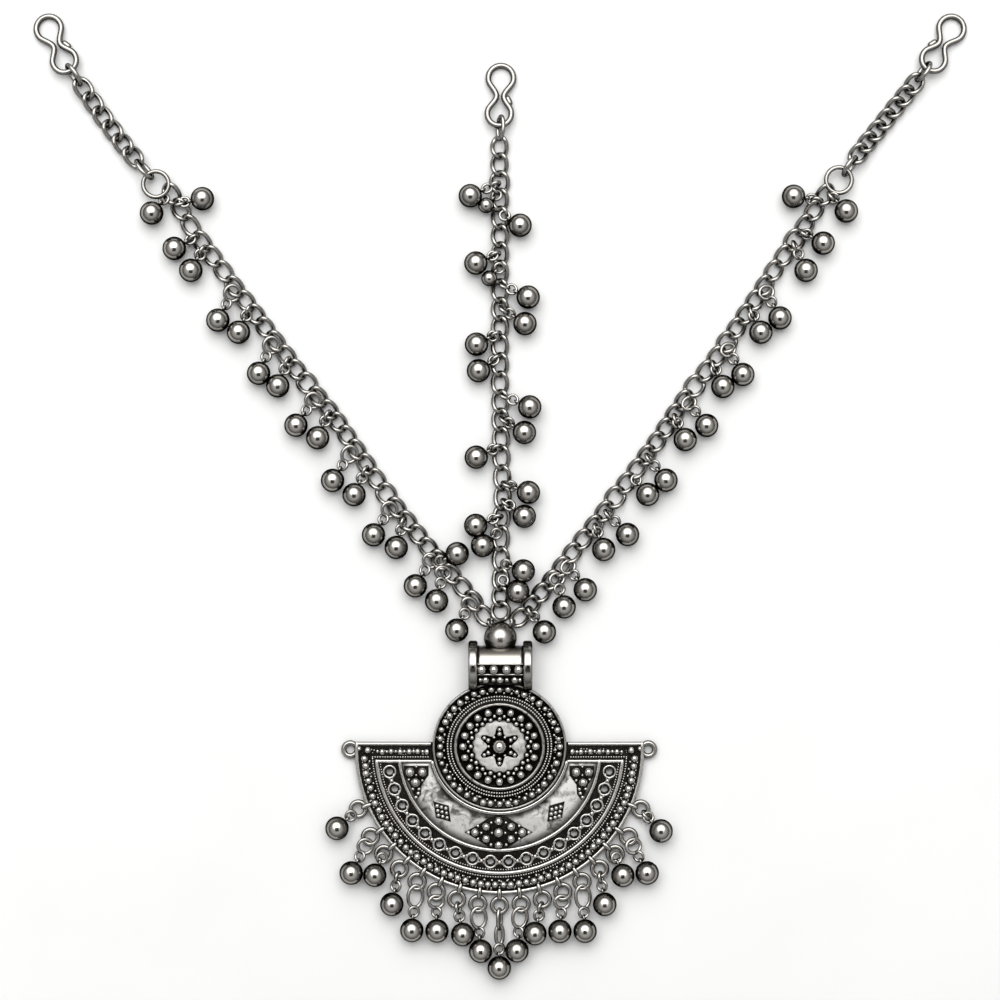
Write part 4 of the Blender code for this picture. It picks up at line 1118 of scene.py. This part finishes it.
for py, size, row in (
        (668.4, 2.35 * MM, (481.6, 493.8, 506.5, 518.4)),
        (678.6, 1.15 * MM, (480.3, 493.5, 506.8, 520.0)),
        (678.4, 1.8 * MM, (485.6, 500.0, 514.7))):
    for px in row:
        x, y = at(px, py)[:2]
        out = unit(np.array([0, y - BAIL_Y, barrel_height(y - BAIL_Y)]))
        spot = np.array([x, BAIL_Y, BAIL_Z]) + out * (BARREL_RADIUS + size * 0.1)
        bail_grains.add(ball(spot, size, 16, 12))
for py in (663.2, 673.6):
    y = at(0, py)[1]
    ridge = [(BAIL_X + x * MM, y, BAIL_Z + barrel_height(y - BAIL_Y)) for x in np.linspace(-5.5, 5.5, 6)]
    bail_grains.add(wire(ridge, 0.16 * MM, closed=False, sides=8))
bail_grains.piece("bail_grains", relief_silver, "bail_silver")

# %% [markdown]
# The ball on top of the bail is the largest, and the strands end at two small eyes on its shoulders.

# %% Crown ball
CROWN_BALL = 8.0 * MM
points, faces = ball((0.2 * MM, 26.85 * MM, 0.8 * MM), CROWN_BALL, 64, 48)
points[:, 2] = np.maximum(points[:, 2], 0)   # its back is flat on the table
crown = Heap().add((points, faces))
crown.piece("crown_sphere", crown_silver, "crown_silver", "crown_ball")
eyes = Heap()
for px, py, turn in ((490.0, 622.5, 120), (512.5, 623.5, 60)):
    ahead = (math.cos(math.radians(turn)), math.sin(math.radians(turn)), 0)
    eyes.add(ring(at(px, py, 2.2 * MM), 2.3 * MM, 0.6 * MM, ahead, math.radians(65), 20, 8))
eyes.piece("crown_eyes", wire_silver, "crown_silver")

# %% [markdown]
# The table is a plain white sheet, a little warmer and cooler by turns, as paper is.

# %% Table
def stage_card(name, half, place, finish):
    """A level square card of the studio, half as wide as half says, with its middle at a place."""
    mesh = bpy.data.meshes.new(name)
    corners = [(-half, -half, 0), (half, -half, 0), (half, half, 0), (-half, half, 0)]
    mesh.from_pydata(corners, [], [(0, 1, 2, 3)])
    mesh.materials.append(finish)
    card = bpy.data.objects.new(name, mesh)
    card.location = place
    bpy.context.scene.collection.objects.link(card)
    print(name, "is", 2 * half, "m wide")
    return card


table_white, tree = new_finish("white_table")
grit = node(tree, "ShaderNodeTexNoise", {"Scale": 300.0, "Detail": 2.0})
tone = node(tree, "ShaderNodeMix", {0: grit, 6: linear("f6f6f5"), 7: linear("fcfcfb")}, **COLOURS)
paper = node(tree, "ShaderNodeBsdfPrincipled", {"Base Color": tone.outputs[2], "Roughness": 0.9})
node(tree, "ShaderNodeOutputMaterial", {0: paper})
stage_card("table", 4, (0, 0, 0), table_white)

# %% [markdown]
# Every polished ball in the photograph mirrors one small black square, the hole in the tent that the lens
# looks through. A dark card above the camera makes it. The camera itself doesn't see the card.

# %% The hole for the lens
lens_black, tree = new_finish("lens_black")
shade = node(tree, "ShaderNodeBsdfPrincipled", {"Base Color": linear("050505"), "Roughness": 1.0})
node(tree, "ShaderNodeOutputMaterial", {0: shade})
lens_card = stage_card("lens_hole", 0.25, (-0.01, -0.12, CAMERA_HEIGHT + 0.02), lens_black)
lens_card.visible_camera = False

# %% [markdown]
# Jewel photographers work in a tent of white cloth. It is the world here, since the metal mirrors all of
# it: a grey that darkens towards the tent's foot, and a wide soft patch, high up beyond the jewel, where
# the lamp shines on the cloth. The patch is what gives each ball and grain its highlight.

# %% The tent of light
TENT_LIGHT = 0.795
FOOT_LIGHT, ROOF_LIGHT = 0.16, 0.84
LAMP_WAY = unit(np.array([-0.05, 0.48, 0.88]))
PATCH_LIGHT = 3.9
PATCH_EDGE, PATCH_CORE = 0.70, 0.985   # cosines of the angle to the lamp
room = bpy.data.worlds.new("tent")
room.use_nodes = True
tree = room.node_tree
tree.nodes.clear()
way = node(tree, "ShaderNodeTexCoord").outputs["Generated"]
upward = node(tree, "ShaderNodeSeparateXYZ", {0: way}).outputs[2]
cloth = node(tree, "ShaderNodeMapRange", {
    0: upward, 1: 0.1, 2: 0.95, 3: FOOT_LIGHT, 4: ROOF_LIGHT}, **EASED)
to_lamp = node(tree, "ShaderNodeVectorMath", {0: way, 1: tuple(LAMP_WAY)}, operation="DOT_PRODUCT")
patch = node(tree, "ShaderNodeMapRange", {
    0: to_lamp.outputs["Value"], 1: PATCH_EDGE, 2: PATCH_CORE, 3: 0.0, 4: PATCH_LIGHT}, **EASED)
total = node(tree, "ShaderNodeMath", {0: cloth, 1: patch}, operation="ADD")
light = node(tree, "ShaderNodeMath", {0: total, 1: TENT_LIGHT}, operation="MULTIPLY")
tent = node(tree, "ShaderNodeBackground", {0: linear("ffffff"), 1: light})
node(tree, "ShaderNodeOutputWorld", {0: tent})
bpy.context.scene.world = room
bpy.context.scene.view_settings.view_transform = "Standard"
print("tent light", TENT_LIGHT)
